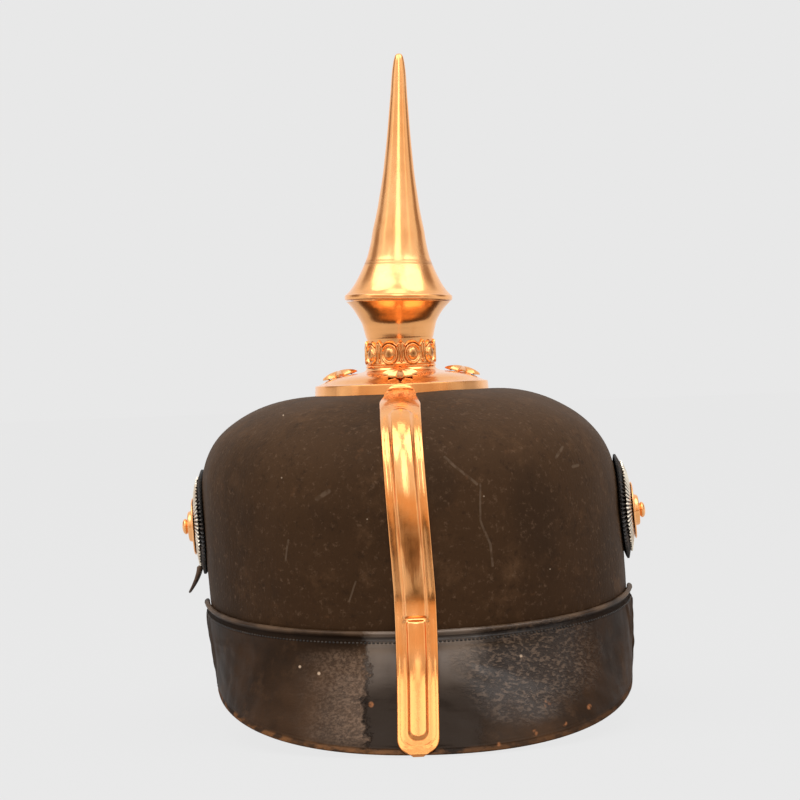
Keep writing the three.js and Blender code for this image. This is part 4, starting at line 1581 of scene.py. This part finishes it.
class Wire:
    """One socket of a shader, which takes part in sums as a number would."""

    def __init__(self, recipe: "Recipe", socket: bpy.types.NodeSocket) -> None:
        """Keeps the recipe that the socket belongs to."""
        self.recipe = recipe
        self.socket = socket

    def _sum(self, operation: str, *parts: "Wire | float", clamp: bool = False) -> "Wire":
        """A math node of these parts."""
        return self.recipe.node("ShaderNodeMath", {"operation": operation, "use_clamp": clamp},
                                dict(enumerate(parts)))

    def __add__(self, other: "Wire | float") -> "Wire":
        """self + other."""
        return self._sum("ADD", self, other)

    __radd__ = __add__

    def __mul__(self, other: "Wire | float") -> "Wire":
        """self * other."""
        return self._sum("MULTIPLY", self, other)

    __rmul__ = __mul__

    def __sub__(self, other: "Wire | float") -> "Wire":
        """self - other."""
        return self._sum("SUBTRACT", self, other)

    def __rsub__(self, other: "Wire | float") -> "Wire":
        """other - self."""
        return self._sum("SUBTRACT", other, self)

    def __truediv__(self, other: "Wire | float") -> "Wire":
        """self / other."""
        return self._sum("DIVIDE", self, other)

    def __pow__(self, other: "Wire | float") -> "Wire":
        """self to the power other."""
        return self._sum("POWER", self, other)

    def most(self, other: "Wire | float") -> "Wire":
        """The larger of the two."""
        return self._sum("MAXIMUM", self, other)

    def size(self) -> "Wire":
        """The value without its sign."""
        return self._sum("ABSOLUTE", self)

    def held(self) -> "Wire":
        """The value held between 0 and 1."""
        return self._sum("ADD", self, 0.0, clamp=True)

    def ramp(self, low: float, high: float) -> "Wire":
        """An eased ramp.

        Args:
            low: The value at which it is 0. It may be the larger of the two.
            high: The value at which it is 1.

        Returns:
            A value that eases in and out between them.
        """
        flip = low > high
        ends = (high, low) if flip else (low, high)
        out = self.recipe.node("ShaderNodeMapRange", {"interpolation_type": "SMOOTHSTEP"},
                               {0: self, 1: ends[0], 2: ends[1], 3: 0.0, 4: 1.0})
        return 1 - out if flip else out


class Recipe:
    """A material in the making."""

    def __init__(self, name: str) -> None:
        """Starts an empty material.

        Args:
            name: Its name.
        """
        self.material = bpy.data.materials.new(name)
        self.material.use_nodes = True
        self.tree = self.material.node_tree
        self.tree.nodes.clear()
        self.place = self.node("ShaderNodeTexCoord", {}, {}, "Object")

    @classmethod
    def of_tree(cls, tree: bpy.types.NodeTree) -> "Recipe":
        """A recipe that fills a node tree that is already there, such as a world's.

        Args:
            tree: The tree, which is emptied.

        Returns:
            The recipe.
        """
        recipe = cls.__new__(cls)
        recipe.tree = tree
        tree.nodes.clear()
        return recipe

    def add(self, kind: str, settings: Settings, sockets: Sockets) -> bpy.types.Node:
        """Adds a node, sets it up and joins its sockets.

        Args:
            kind: The node's type.
            settings: Its settings, set before its sockets.
            sockets: A wire or a constant for each input.

        Returns:
            The node.
        """
        node = self.tree.nodes.new(kind)
        for key, value in settings.items():
            setattr(node, key, value)
        for key, value in sockets.items():
            if isinstance(value, Wire):
                self.tree.links.new(value.socket, node.inputs[key])
            else:
                node.inputs[key].default_value = value
        return node

    def node(self, kind: str, settings: Settings, sockets: Sockets, out: int | str = 0) -> Wire:
        """One output of a new node, as a wire."""
        return Wire(self, self.add(kind, settings, sockets).outputs[out])

    def color(self, rgb: Rgb) -> tuple[float, float, float, float]:
        """A linear colour with its alpha."""
        return (*rgb, 1.0)

    def blend(self, a: object, b: object, share: Wire | float) -> Wire:
        """A colour that lies a share of the way from a to b."""
        a, b = (self.color(c) if isinstance(c, tuple) else c for c in (a, b))
        return self.node("ShaderNodeMix", {"data_type": "RGBA"}, {0: share, 6: a, 7: b}, 2)

    def layered(self, color: object, layers: Sequence[tuple[Rgb, Wire | float]]) -> Wire:
        """Colours laid over a first colour one by one, each by its own share."""
        return reduce(lambda below, layer: self.blend(below, *layer), layers, color)

    def scaled(self, x: float, y: float, z: float) -> Wire:
        """The place, scaled along each axis."""
        return self.node("ShaderNodeVectorMath", {"operation": "MULTIPLY"}, {0: self.place, 1: (x, y, z)})

    def noise(self, scale: float, detail: float = 3.0, place: Wire | None = None, rough: float = 0.5,
              distort: float = 0.0) -> Wire:
        """A cloudy noise from 0 to 1, with so many clouds to a metre, broken up finer and stirred."""
        return self.node("ShaderNodeTexNoise", {}, {"Vector": place or self.place, "Scale": scale,
                         "Detail": detail, "Roughness": rough, "Distortion": distort})

    def cells(self, scale: float, place: Wire) -> Wire:
        """The distance to the nearest of many scattered points."""
        return self.node("ShaderNodeTexVoronoi", {}, {"Vector": place, "Scale": scale})

    def mark(self) -> Wire:
        """The piece's own mark."""
        return self.node("ShaderNodeAttribute", {"attribute_name": "mark"}, {}, "Fac")

    def axes(self) -> tuple[Wire, Wire, Wire]:
        """The place's three coordinates in millimetres."""
        return self.split(self.scaled(1000, 1000, 1000))

    def split(self, vector: Wire) -> tuple[Wire, Wire, Wire]:
        """A vector's X, Y and Z."""
        return tuple(Wire(self, part) for part in self.add("ShaderNodeSeparateXYZ", {}, {0: vector}).outputs)

    def surface_map(self) -> Wire:
        """The piece's own surface map, in metres."""
        return self.node("ShaderNodeUVMap", {"uv_map": "surface"}, {})

    def stroke(self, x: Wire, y: Wire, a: tuple[float, float], b: tuple[float, float], width: float) -> Wire:
        """A straight stroke.

        Args:
            x: The place across.
            y: The place along the other axis.
            a: The stroke's start.
            b: Its end.
            width: How far from its line it reaches.

        Returns:
            1 on the line between the two ends, falling to 0 at the width.
        """
        dx, dy = b[0] - a[0], b[1] - a[1]
        share = (((x - a[0]) * dx + (y - a[1]) * dy) / (dx * dx + dy * dy)).held()
        off_x, off_y = x - a[0] - share * dx, y - a[1] - share * dy
        return (off_x * off_x + off_y * off_y).ramp(width * width, 0.0)

    def strokes(self, x: Wire, y: Wire, strokes: Sequence[Stroke]) -> Wire:
        """Several straight strokes, each given by its start, its end and its width."""
        return reduce(Wire.most, [self.stroke(x, y, *each) for each in strokes])

    def spots(self, x: Wire, y: Wire, spots: Sequence[Spot]) -> Wire:
        """Several round spots, each given by its middle and its width."""
        return reduce(Wire.most, [self.spot(x, y, *each) for each in spots])

    def spot(self, x: Wire, y: Wire, at: tuple[float, float], width: float) -> Wire:
        """1 at a spot, falling to 0 at its width."""
        off_x, off_y = x - at[0], y - at[1]
        return (off_x * off_x + off_y * off_y).ramp(width * width, 0.0)

    def bumps(self, *layers: tuple[Wire, float]) -> Wire:
        """Bends the shading by one height after another.

        Args:
            layers: For each, a height from 0 to 1 and the depth in metres that it stands for.

        Returns:
            The bent shading.
        """
        normal = {}
        for height, depth in layers:
            sockets = {"Strength": 1.0, "Distance": depth, "Height": height, **normal}
            normal = {"Normal": self.node("ShaderNodeBump", {}, sockets)}
        return normal["Normal"]

    def finish(self, sockets: Sockets) -> Material:
        """Ends the recipe with a surface shader of these inputs, and gives the material."""
        self.output(self.node("ShaderNodeBsdfPrincipled", {}, sockets))
        return self.material

    def output(self, surface: Wire, kind: str = "ShaderNodeOutputMaterial") -> None:
        """Joins a surface to the output."""
        self.add(kind, {}, {0: surface})


# ---- finishes


@dataclass(frozen=True)
class BrassFinish:
    """Old gilt brass: polished, softly uneven, with smudges and dirt in its recesses; its dark colours also
    paint dark reflections on the pearls and the spine.
    """

    name: str
    base: Rgb = (0.91, 0.43, 0.160)
    pale: Rgb = (0.95, 0.49, 0.205)
    deep: Rgb = (0.80, 0.30, 0.080)
    dirt: Rgb = (0.20, 0.075, 0.022)
    roughness: float = 0.15
    smudge: float = 0.14
    wave: float = 0.00022
    wave_size: float = 55.0
    drawn: float = 0.00003
    dull_below: float | None = None
    # The top and foot heights of a painted reflection, a dark wedge on the piece, or none.
    painted_reflection: tuple[float, float] | None = None

    def make(self) -> Material:
        """Makes the material.

        Returns:
            The material.
        """
        r = Recipe(self.name)
        cloud, hollow, height = r.noise(38, 4, rough=0.6), r.mark(), r.axes()[2]
        tarnish = r.noise(70, 5, rough=0.7).ramp(0.56, 0.80) * 0.55
        # Darkens with the mark: dirt in recesses, and on the pearl ring also a painted reflection in each
        # pearl's middle.
        dirt_and_pearl_reflection = (hollow * (0.75 + r.noise(420, 3) * 0.4)).held()
        lines = r.noise(26, 4, r.scaled(60, 60, 3), 0.7)
        drawn = r.noise(9, 3, r.scaled(60, 60, 3), 0.6)
        rough = self.roughness + cloud.ramp(0.45, 0.75) * self.smudge + lines.ramp(0.55, 0.8) * 0.05
        rough = rough + hollow * 0.25
        layers = [(self.pale, cloud.ramp(0.42, 0.72)), (self.deep, tarnish), (self.dirt, dirt_and_pearl_reflection),
                  (self.deep, drawn.ramp(0.55, 0.8) * 0.35)]
        # Painted reflection: a dark brown wedge, narrowing downwards, where the dark room would show mirrored
        # in the strip.
        if self.painted_reflection:
            layers.append(((0.40, 0.115, 0.024), self.painted_reflection_wedge(r, height, drawn) * 0.62))
        if self.dull_below:
            dull = height.ramp(self.dull_below + 5, self.dull_below - 5)
            layers.append(((0.56, 0.215, 0.062), dull * 0.85))
            rough = rough + dull * 0.09
        waves = r.noise(self.wave_size, 1.5)
        normal = r.bumps((waves, self.wave), (r.noise(700, 2), 0.000006), (drawn, self.drawn))
        return r.finish({"Base Color": r.layered(self.base, layers), "Metallic": 1.0,
                         "Roughness": rough.held(), "Normal": normal})

    def painted_reflection_wedge(self, r: Recipe, height: Wire, drawn: Wire) -> Wire:
        """A painted reflection: a dark brown wedge, standing for the dark room mirrored in the strip, that
        narrows downwards to a point.

        Args:
            r: The recipe.
            height: The height on the piece.
            drawn: The long streaks that fray its edges.

        Returns:
            1 inside the wedge and 0 outside it.
        """
        top, foot = self.painted_reflection
        across = (r.split(r.surface_map())[0] * 1000).size()
        inside = ((height - foot) * 0.20 - across + (drawn - 0.5) * 6).ramp(-0.5, 0.9)
        return inside * height.ramp(top, top - 20) * height.ramp(foot, foot + 4)


@dataclass(frozen=True)
class CrownFinish:
    """The crown's dry, matt leather, worn brown and scratched, with a painted highlight on its top and
    shoulders. Marks are placed across and up.
    """

    name: str = "crown leather"
    scratches: tuple[Stroke, ...] = (
        ((-15.5, 120.5), (-28.0, 108.8), 0.75), ((-29.5, 108.8), (-29.3, 93.8), 0.6),
        ((-29.3, 93.8), (-33.2, 83.5), 0.65), ((-33.2, 83.5), (-33.4, 74.5), 0.7),
        ((-70.0, 113.5), (-72.3, 113.9), 0.9), ((-63.0, 118.0), (-65.8, 122.0), 0.8),
        ((39.0, 105.0), (34.0, 108.2), 1.3), ((52.0, 88.0), (53.5, 79.0), 0.5),
        ((24.0, 70.0), (27.0, 62.0), 0.5),
    )
    specks: tuple[Spot, ...] = (
        ((54.0, 140.0), 0.5), ((54.0, 114.0), 0.45), ((-31.0, 103.5), 0.45),
        ((18.0, 96.0), 0.4), ((-58.0, 71.0), 0.4),
    )

    def make(self) -> Material:
        """Makes the material.

        Returns:
            The material.
        """
        r = Recipe(self.name)
        x, y, z = r.axes()
        behind = y.ramp(20, 45)
        cloud, mottle = r.noise(14, 6, rough=0.62), r.noise(60, 6, rough=0.7)
        grain = r.noise(170, 5, r.scaled(1, 1, 0.28), 0.75)
        # Painted highlight: the leather is painted lighter towards the top and towards the two shoulders,
        # where the lamps light it.
        height = z.ramp(60, 140) * (x.size().ramp(8, 62) * 0.6 + 0.4)
        off_x, off_z = (r.noise(60, 2) - 0.5) * 2.2, (r.noise(75, 2) - 0.5) * 1.6
        broken = 0.35 + r.noise(300, 2).ramp(0.34, 0.55) * 0.65
        scratches = r.strokes(x + off_x, z + off_z, self.scratches) * broken * behind
        color = r.layered((0.0215, 0.0098, 0.0038), (
            ((0.036, 0.0170, 0.0070), cloud.ramp(0.3, 0.68)),
            # Painted highlight on the top and shoulders.
            ((0.058, 0.030, 0.0140), (height * 0.55 * (0.4 + mottle * 1.2)).held()),
            ((0.086, 0.044, 0.021), mottle.ramp(0.53, 0.76) * 0.6),
            ((0.016, 0.0085, 0.0045), r.noise(35, 5, r.scaled(1, 1, 0.5)).ramp(0.50, 0.32) * 0.42),
            ((0.085, 0.052, 0.031), grain.ramp(0.60, 0.78) * 0.30),
            ((0.11, 0.050, 0.022), r.noise(130, 5, rough=0.7).ramp(0.60, 0.76) * 0.35),
            ((0.105, 0.062, 0.036), r.noise(380, 4, rough=0.75).ramp(0.54, 0.72) * 0.55),
            ((0.012, 0.006, 0.003), r.noise(240, 5, rough=0.75).ramp(0.46, 0.30) * 0.5),
            ((0.11, 0.074, 0.048), (scratches * 0.55).held()),
            ((0.36, 0.27, 0.19), r.spots(x, z, self.specks) * 0.7 * behind),
        ))
        rough = 0.62 + mottle * 0.16 - cloud.ramp(0.5, 0.8) * 0.06
        pores = r.cells(900, r.scaled(1, 1, 0.6))
        normal = r.bumps((grain, 0.00018), (pores, 0.00006), (1 - scratches.held(), 0.00012))
        return r.finish({"Base Color": color, "Roughness": rough.held(), "Specular IOR Level": 0.13,
                         "Specular Tint": (1.0, 0.76, 0.58, 1), "Normal": normal, "Sheen Weight": 0.015,
                         "Sheen Roughness": 0.5, "Sheen Tint": (0.95, 0.55, 0.28, 1)})


@dataclass(frozen=True)
class VisorZones:
    """Where the visor's lacquer differs, as masks from 0 to 1, and the noises that its layers share."""

    x: Wire
    z: Wire
    behind: Wire
    rubbed: Wire
    clean: Wire
    crazed: Wire
    piping: Wire
    groove: Wire
    hem: Wire
    cloud: Wire
    pits: Wire
    wrinkle: Wire
    streak: Wire


@dataclass(frozen=True)
class VisorFinish:
    """Old black lacquer on leather: glossy where it is whole, crazed and browned where it is worn.

    Marks are placed across and up. whole is the stretch across where the lacquer is whole.
    """

    name: str = "visor leather"
    whole: tuple[float, float] = (-34.0, 19.2)
    craze_middle: tuple[float, float] = (-47.0, 34.0)
    craze_size: tuple[float, float] = (33.0, 25.0)
    chips: tuple[Spot, ...] = (
        ((49.0, 34.5), 0.75), ((40.8, 32.0), 0.9), ((-44.0, 36.0), 0.8), ((-56.0, 52.0), 0.6),
    )
    scuffs: tuple[Spot, ...] = (
        ((-54.0, 16.5), 1.9), ((-48.0, 6.0), 1.6), ((-61.0, 8.0), 1.2),
        ((19.0, 20.0), 1.4), ((-33.0, 3.0), 1.2), ((-72.0, 13.0), 1.3),
    )

    def zones(self, r: Recipe) -> VisorZones:
        """Lays out the finish's zones, with ragged borders.

        Args:
            r: The recipe.

        Returns:
            The zones.
        """
        x, y, z = r.axes()
        behind = y.ramp(10, 40)
        ragged = (r.noise(120, 6, rough=0.75) - 0.5) * 22
        low, high = self.whole
        near, far = x + ragged * 0.9, x + ragged
        rubbed = near.ramp(high, high + 3.8) * far.ramp(54, 22) * z.ramp(2, 9) * z.ramp(44, 38)
        off_x = (x - self.craze_middle[0]) / self.craze_size[0]
        off_z = (z - self.craze_middle[1]) / self.craze_size[1]
        patch = (off_x * off_x + off_z * off_z + (r.noise(70, 4) - 0.5) * 0.9).ramp(1.2, 0.15)
        from_top = r.split(r.surface_map())[1] * 1000
        return VisorZones(
            x=x,
            z=z,
            behind=behind,
            rubbed=(rubbed * behind).held(),
            clean=near.ramp(high + 3.8, high) * far.ramp(low, low + 11) * behind,
            crazed=(patch * behind).held(),
            piping=from_top.ramp(2.4, 1.3),
            groove=from_top.ramp(2.2, 2.9) * from_top.ramp(4.9, 4.2),
            hem=r.mark(),
            cloud=r.noise(30, 5, rough=0.6),
            pits=r.noise(780, 4, r.scaled(0.8, 0.8, 1.1), 0.7),
            wrinkle=r.noise(700, 3, r.scaled(0.6, 0.6, 1.2), 0.6, distort=0.4),
            streak=r.noise(22, 5, r.scaled(1.2, 1.2, 7), 0.65),
        )

    def color(self, r: Recipe, at: VisorZones) -> Wire:
        """The lacquer's colour, layer by layer, with painted sheen, highlight and shade.

        Args:
            r: The recipe.
            at: The zones.

        Returns:
            The colour.
        """
        # Painted sheen: a pale streaky layer on the clean lacquer's upper part, standing for the lamps' broad
        # reflections.
        painted_sheen = at.clean * at.z.ramp(20, 42) * (r.noise(26, 3, r.scaled(3, 3, 0.5)) * 0.9 + 0.35)
        browned = at.x.ramp(-60, 40) * 0.6 + 0.3
        patchy = r.noise(150, 4, r.scaled(1, 1, 2)).ramp(0.40, 0.62) * 0.9
        scuffed = r.spots(at.x, at.z, self.scuffs) * r.noise(400, 3).ramp(0.38, 0.6)
        return r.layered((0.0130, 0.0064, 0.0030), (
            ((0.036, 0.0170, 0.0075), at.cloud.ramp(0.38, 0.68)),
            ((0.058, 0.029, 0.0135), r.noise(110, 5, rough=0.7).ramp(0.52, 0.75) * 0.55),
            ((0.165, 0.103, 0.066), at.rubbed * (at.pits.ramp(0.40, 0.64) * 0.6 + 0.2)),
            ((0.0050, 0.0032, 0.0025), at.clean * 0.95),
            ((0.180, 0.140, 0.112), (painted_sheen * 0.9).held()),
            ((0.022, 0.014, 0.010), at.crazed * 0.55),
            ((0.21, 0.140, 0.095), at.crazed * at.wrinkle.ramp(0.47, 0.62) * 0.34),
            # Painted highlight along the piping's top, partly wear.
            ((0.135, 0.082, 0.048), at.piping * r.noise(60, 4).ramp(0.25, 0.7) * 0.6),
            # Painted shade in the groove below the piping.
            ((0.006, 0.0032, 0.0018), at.groove * 0.8),
            ((0.16, 0.066, 0.022), at.hem * browned * patchy),
            ((0.50, 0.36, 0.25), r.spots(at.x, at.z, self.chips) * 0.85 * at.behind),
            ((0.25, 0.095, 0.036), scuffed * at.behind),
        ))

    def normal(self, r: Recipe, at: VisorZones) -> Wire:
        """The unevenness, the streaks, the crazing and the pits.

        Args:
            r: The recipe.
            at: The zones.

        Returns:
            The bent shading.
        """
        return r.bumps(
            (r.noise(48, 3, rough=0.45) * (1 - at.clean * 0.6), 0.0009),
            (at.streak, 0.00028),
            (r.noise(330, 3, rough=0.6), 0.00006),
            (at.wrinkle.ramp(0.32, 0.64) * at.crazed, 0.00075),
            (at.pits * at.rubbed, 0.0006),
        )

    def make(self) -> Material:
        """Makes the material.

        Returns:
            The material.
        """
        r = Recipe(self.name)
        at = self.zones(r)
        rough = 0.36 - at.clean * 0.20 + at.cloud.ramp(0.40, 0.72) * 0.14 + at.rubbed * 0.16
        rough = rough + at.crazed * 0.04 + at.hem * 0.2 + at.groove * 0.2
        rough = rough + at.streak.ramp(0.5, 0.75) * 0.08 + at.x.size().ramp(62, 88) * 0.22
        coat = at.clean * at.z.ramp(24, 44) * 0.55 + at.crazed * at.x.ramp(-86, -60) * 0.4
        coat = coat + at.rubbed * 0.12 + at.piping * 0.12
        return r.finish({"Base Color": self.color(r, at), "Roughness": rough.held(),
                         "Normal": self.normal(r, at), "Specular IOR Level": 0.13,
                         "Specular Tint": (1.0, 0.72, 0.54, 1), "Coat Weight": coat.held(),
                         "Coat Roughness": 0.22, "Coat Tint": (1.0, 0.97, 0.93, 1)})


@dataclass(frozen=True)
class PlainLeather:
    """Undressed leather, for the strap and the crown's inside."""

    name: str
    base: Rgb
    worn: Rgb
    roughness: float = 0.6

    def make(self) -> Material:
        """Makes the material.

        Returns:
            The material.
        """
        r = Recipe(self.name)
        cloud = r.noise(60, 5, rough=0.65)
        color = r.blend(self.base, self.worn, cloud.ramp(0.4, 0.72))
        color = r.blend(color, self.worn, r.mark() * 0.6)
        normal = r.bumps((r.noise(420, 4), 0.00012))
        rough = self.roughness + cloud * 0.15
        return r.finish({"Base Color": color, "Roughness": rough.held(), "Normal": normal,
                         "Specular IOR Level": 0.4})


@dataclass(frozen=True)
class SilverFinish:
    """The cockade ring's tarnished silver."""

    name: str = "silver"

    def make(self) -> Material:
        """Makes the material.

        Returns:
            The material.
        """
        r = Recipe(self.name)
        cloud = r.noise(90, 4)
        color = r.blend((0.90, 0.82, 0.68), (0.66, 0.52, 0.38), cloud.ramp(0.5, 0.75))
        color = r.blend((0.035, 0.026, 0.018), color, r.mark().ramp(0.28, 0.62))
        return r.finish({"Base Color": color, "Metallic": 1.0, "Roughness": (0.28 + cloud * 0.15).held(),
                         "Normal": r.bumps((r.noise(600, 2), 0.00003))})


@dataclass(frozen=True)
class LacquerFinish:
    """The cockade's black lacquer, rubbed brown along its pleats."""

    name: str = "black lacquer"

    def make(self) -> Material:
        """Makes the material.

        Returns:
            The material.
        """
        r = Recipe(self.name)
        rubbed = r.mark().ramp(0.55, 1.0) * r.noise(260, 4).ramp(0.42, 0.62)
        color = r.blend((0.010, 0.008, 0.007), (0.075, 0.045, 0.028), rubbed * 0.8)
        return r.finish({"Base Color": color, "Roughness": (0.34 + rubbed * 0.25).held(),
                         "Normal": r.bumps((r.noise(500, 3), 0.00005)), "Specular IOR Level": 0.4})


@dataclass(frozen=True)
class ThreadFinish:
    """The visor's waxed thread."""

    name: str = "waxed thread"

    def make(self) -> Material:
        """Makes the material.

        Returns:
            The material.
        """
        r = Recipe(self.name)
        color = r.blend((0.010, 0.0065, 0.0045), (0.045, 0.030, 0.019), r.noise(180, 4).ramp(0.42, 0.70))
        return r.finish({"Base Color": color, "Roughness": 0.5, "Specular IOR Level": 0.45})


# ---- studio


@dataclass(frozen=True)
class Softbox:
    """A square or long lamp that faces the helmet.

    Angles are in degrees: bearing from the camera's side towards the wearer's left, height above
    the level.
    """

    name: str
    bearing: float
    height: float
    distance: float
    width: float
    length: float
    glow: float

    def build(self, aim: Vector) -> None:
        """Makes the lamp.

        Args:
            aim: The point that it faces.
        """
        a, e = math.radians(self.bearing), math.radians(self.height)
        way = Vector((math.sin(a) * math.cos(e), math.cos(a) * math.cos(e), math.sin(e)))
        lamp = bpy.data.lights.new(self.name, "AREA")
        lamp.shape = "RECTANGLE"
        lamp.size, lamp.size_y = self.width, self.length
        lamp.energy = math.pi * self.width * self.length * self.glow
        stand = bpy.data.objects.new(self.name, lamp)
        stand.location = aim + way * self.distance
        stand.rotation_euler = way.to_track_quat("Z", "Y").to_euler()
        bpy.context.scene.collection.objects.link(stand)


@dataclass(frozen=True)
class Studio:
    """The lamps, the pale surroundings and the pale surface that the helmet stands on."""

    paper: float = 0.807
    floor_radius: float = 12.0
    floor_diffuse: float = 0.022
    floor_glow: float = 0.779
    below: float = 0.80
    dark: float = 0.03
    side_dark: float = 0.55
    warm: Rgb = (0.88, 0.62, 0.40)
    deep: Rgb = (0.56, 0.24, 0.07)

    def build(self) -> None:
        """Makes the whole studio."""
        aim = Vector((*(SEAT.axis * MM), 0.12))
        lamps = (
            Softbox("key left", 58, 57, 1.5, 1.20, 0.95, 2.35),
            Softbox("key right", -58, 57, 1.5, 1.20, 0.95, 2.35),
            Softbox("middle bank", 0, 33, 1.5, 0.52, 1.12, 1.9),
            Softbox("top bank", 0, 88, 1.5, 0.60, 0.55, 1.5),
            Softbox("strip left", 64, 18, 1.6, 0.16, 1.3, 0.8),
            Softbox("strip right", -52, 18, 1.6, 0.16, 1.3, 0.6),
        )
        for lamp in lamps:
            lamp.build(aim)
        self.surroundings()
        self.floor()

    def surroundings(self) -> None:
        """Makes a world that is plain paper to the camera and a room to reflections.

        The room is bright and a little dimmer below. It has a dim patch low behind the camera, two dim
        walls at the sides, and a warm band about the level of the eye.
        """
        world = bpy.data.worlds.new("surroundings")
        bpy.context.scene.world = world
        world.use_nodes = True
        r = Recipe.of_tree(world.node_tree)
        x, y, z = r.split(r.node("ShaderNodeTexCoord", {}, {}, "Generated"))
        level = z.ramp(-0.42, -0.04) * (1 - self.below) + self.below
        narrowing = (((z + 0.125) / 0.08).held() ** 0.8 * 1.2).most(0.04)
        patch = (x.size() / narrowing).ramp(1.2, 0.75) * z.ramp(0.0, -0.040) * z.ramp(-0.155, -0.125)
        patch = patch * y.ramp(0.0, 0.3)
        sides = y.ramp(-0.62, -0.42) * y.ramp(0.02, -0.14) * z.ramp(0.78, 0.52) * z.ramp(-0.02, 0.14)
        bright = level * (1 - patch * (1 - self.dark)) * (1 - sides * self.side_dark)
        band = z.ramp(-0.13, -0.02) * z.ramp(0.34, 0.10) * y.ramp(0.2, 0.6)
        color = r.blend(self.deep, r.blend((1.0, 1.0, 1.0), self.warm, band), bright.ramp(0.0, 0.92))
        room = r.node("ShaderNodeBackground", {}, {0: color, 1: bright})
        paper = r.node("ShaderNodeBackground", {}, {0: r.color((self.paper,) * 3), 1: 1.0})
        seen = r.node("ShaderNodeLightPath", {}, {}, "Is Camera Ray")
        both = r.node("ShaderNodeMixShader", {}, {0: seen, 1: room, 2: paper})
        r.output(both, "ShaderNodeOutputWorld")

    def floor(self) -> None:
        """A wide pale disc, lit just as brightly as the surroundings except in the helmet's shade."""
        turn = np.linspace(0, TURN, 97)[:-1]
        low = CAD_BOX[0].z - 0.0003
        points = polar(self.floor_radius, turn, low)
        mesh = bpy.data.meshes.new("floor")
        mesh.from_pydata(points, [], [list(range(len(points)))])
        disc = bpy.data.objects.new("floor", mesh)
        bpy.context.scene.collection.objects.link(disc)
        r = Recipe("floor paper")
        diffuse = r.node("ShaderNodeBsdfDiffuse", {}, {"Color": r.color((self.floor_diffuse,) * 3)})
        white = r.color((1.0, 1.0, 1.0))
        glow = r.node("ShaderNodeEmission", {}, {"Color": white, "Strength": self.floor_glow})
        r.output(r.node("ShaderNodeAddShader", {}, {0: diffuse, 1: glow}))
        mesh.materials.append(r.material)
        disc.visible_glossy = False
        disc.visible_diffuse = False


@dataclass(frozen=True)
class Camera:
    """A long lens behind the helmet, level with its crown, leaned a little to one side."""

    distance: float = 1.25
    height: float = 0.1557
    lens: float = 123.75
    yaw: float = 0.95
    pitch: float = 0.53
    roll: float = 2.2
    aside: float = -0.001

    def build(self) -> None:
        """Makes the camera and gives it to the scene."""
        a, p, t = math.radians(self.yaw), math.radians(self.pitch), math.radians(self.roll)
        level = Vector((math.sin(a), -math.cos(a), 0))
        across = level.cross(Vector((0, 0, 1)))
        ahead = level * math.cos(p) - Vector((0, 0, 1)) * math.sin(p)
        up = across.cross(ahead)
        right = across * math.cos(t) - up * math.sin(t)
        over = across * math.sin(t) + up * math.cos(t)
        data = bpy.data.cameras.new("camera")
        data.lens, data.sensor_width = self.lens, 36.0
        data.clip_start, data.clip_end = 0.05, 60.0
        stand = bpy.data.objects.new("camera", data)
        turn = Matrix((right, over, -ahead)).transposed().to_4x4()
        spot = Vector((*(SEAT.axis * MM), self.height)) - level * self.distance + across * self.aside
        stand.matrix_world = Matrix.Translation(spot) @ turn
        bpy.context.scene.collection.objects.link(stand)
        bpy.context.scene.camera = stand


# ---- the helmet


def build_helmet() -> None:
    """Makes every piece of the helmet."""
    polished = BrassFinish("polished brass", roughness=0.19).make()
    pressed = BrassFinish("pressed brass", roughness=0.19, smudge=0.12, wave=0.00035, wave_size=90).make()
    # The spine brass has a painted reflection: a dark wedge from 102 mm down to a point at 63 mm.
    strip = BrassFinish("spine brass", (0.90, 0.385, 0.125), (0.94, 0.47, 0.19), (0.80, 0.27, 0.065),
                        roughness=0.14, smudge=0.10, wave=0.00022, wave_size=50, drawn=0.00009,
                        dull_below=38.0, painted_reflection=(102.0, 63.0)).make()
    crown = CrownFinish().make()
    lining = PlainLeather("bare leather", (0.16, 0.085, 0.04), (0.24, 0.14, 0.075)).make()
    lacquered = VisorFinish().make()
    strap = PlainLeather("strap leather", (0.050, 0.028, 0.017), (0.13, 0.075, 0.045), 0.5).make()
    silver, lacquer, thread = SilverFinish().make(), LacquerFinish().make(), ThreadFinish().make()
    CROWN.build(crown, lining)
    REAR_VISOR.build(lacquered, thread)
    FRONT_VISOR.build(lacquered)
    FRONT_VISOR.build_trim(polished)
    Spine().build(strip)
    plate = BasePlate()
    plate.build(polished)
    StarStud().build(pressed, plate)
    Neck().build(polished)
    PearlRing().build(pressed)
    Spike().build(polished)
    for cockade in (Cockade(Side.LEFT, seat=0.4, dome=2.2), Cockade(Side.RIGHT, seat=1.0, dome=3.0)):
        cockade.build(lacquer, silver, polished)
    ChinStrap().build(strap, pressed)
    StrapTab().build(strap)
    FrontPlate().build(pressed)


def main() -> None:
    """Builds the helmet, its studio and the camera."""
    logging.basicConfig(level=logging.INFO, format="%(name)s: %(message)s")
    build_helmet()
    Studio().build()
    Camera().build()
    bpy.context.scene.view_settings.view_transform = "Standard"


if __name__ == "__main__":
    main()
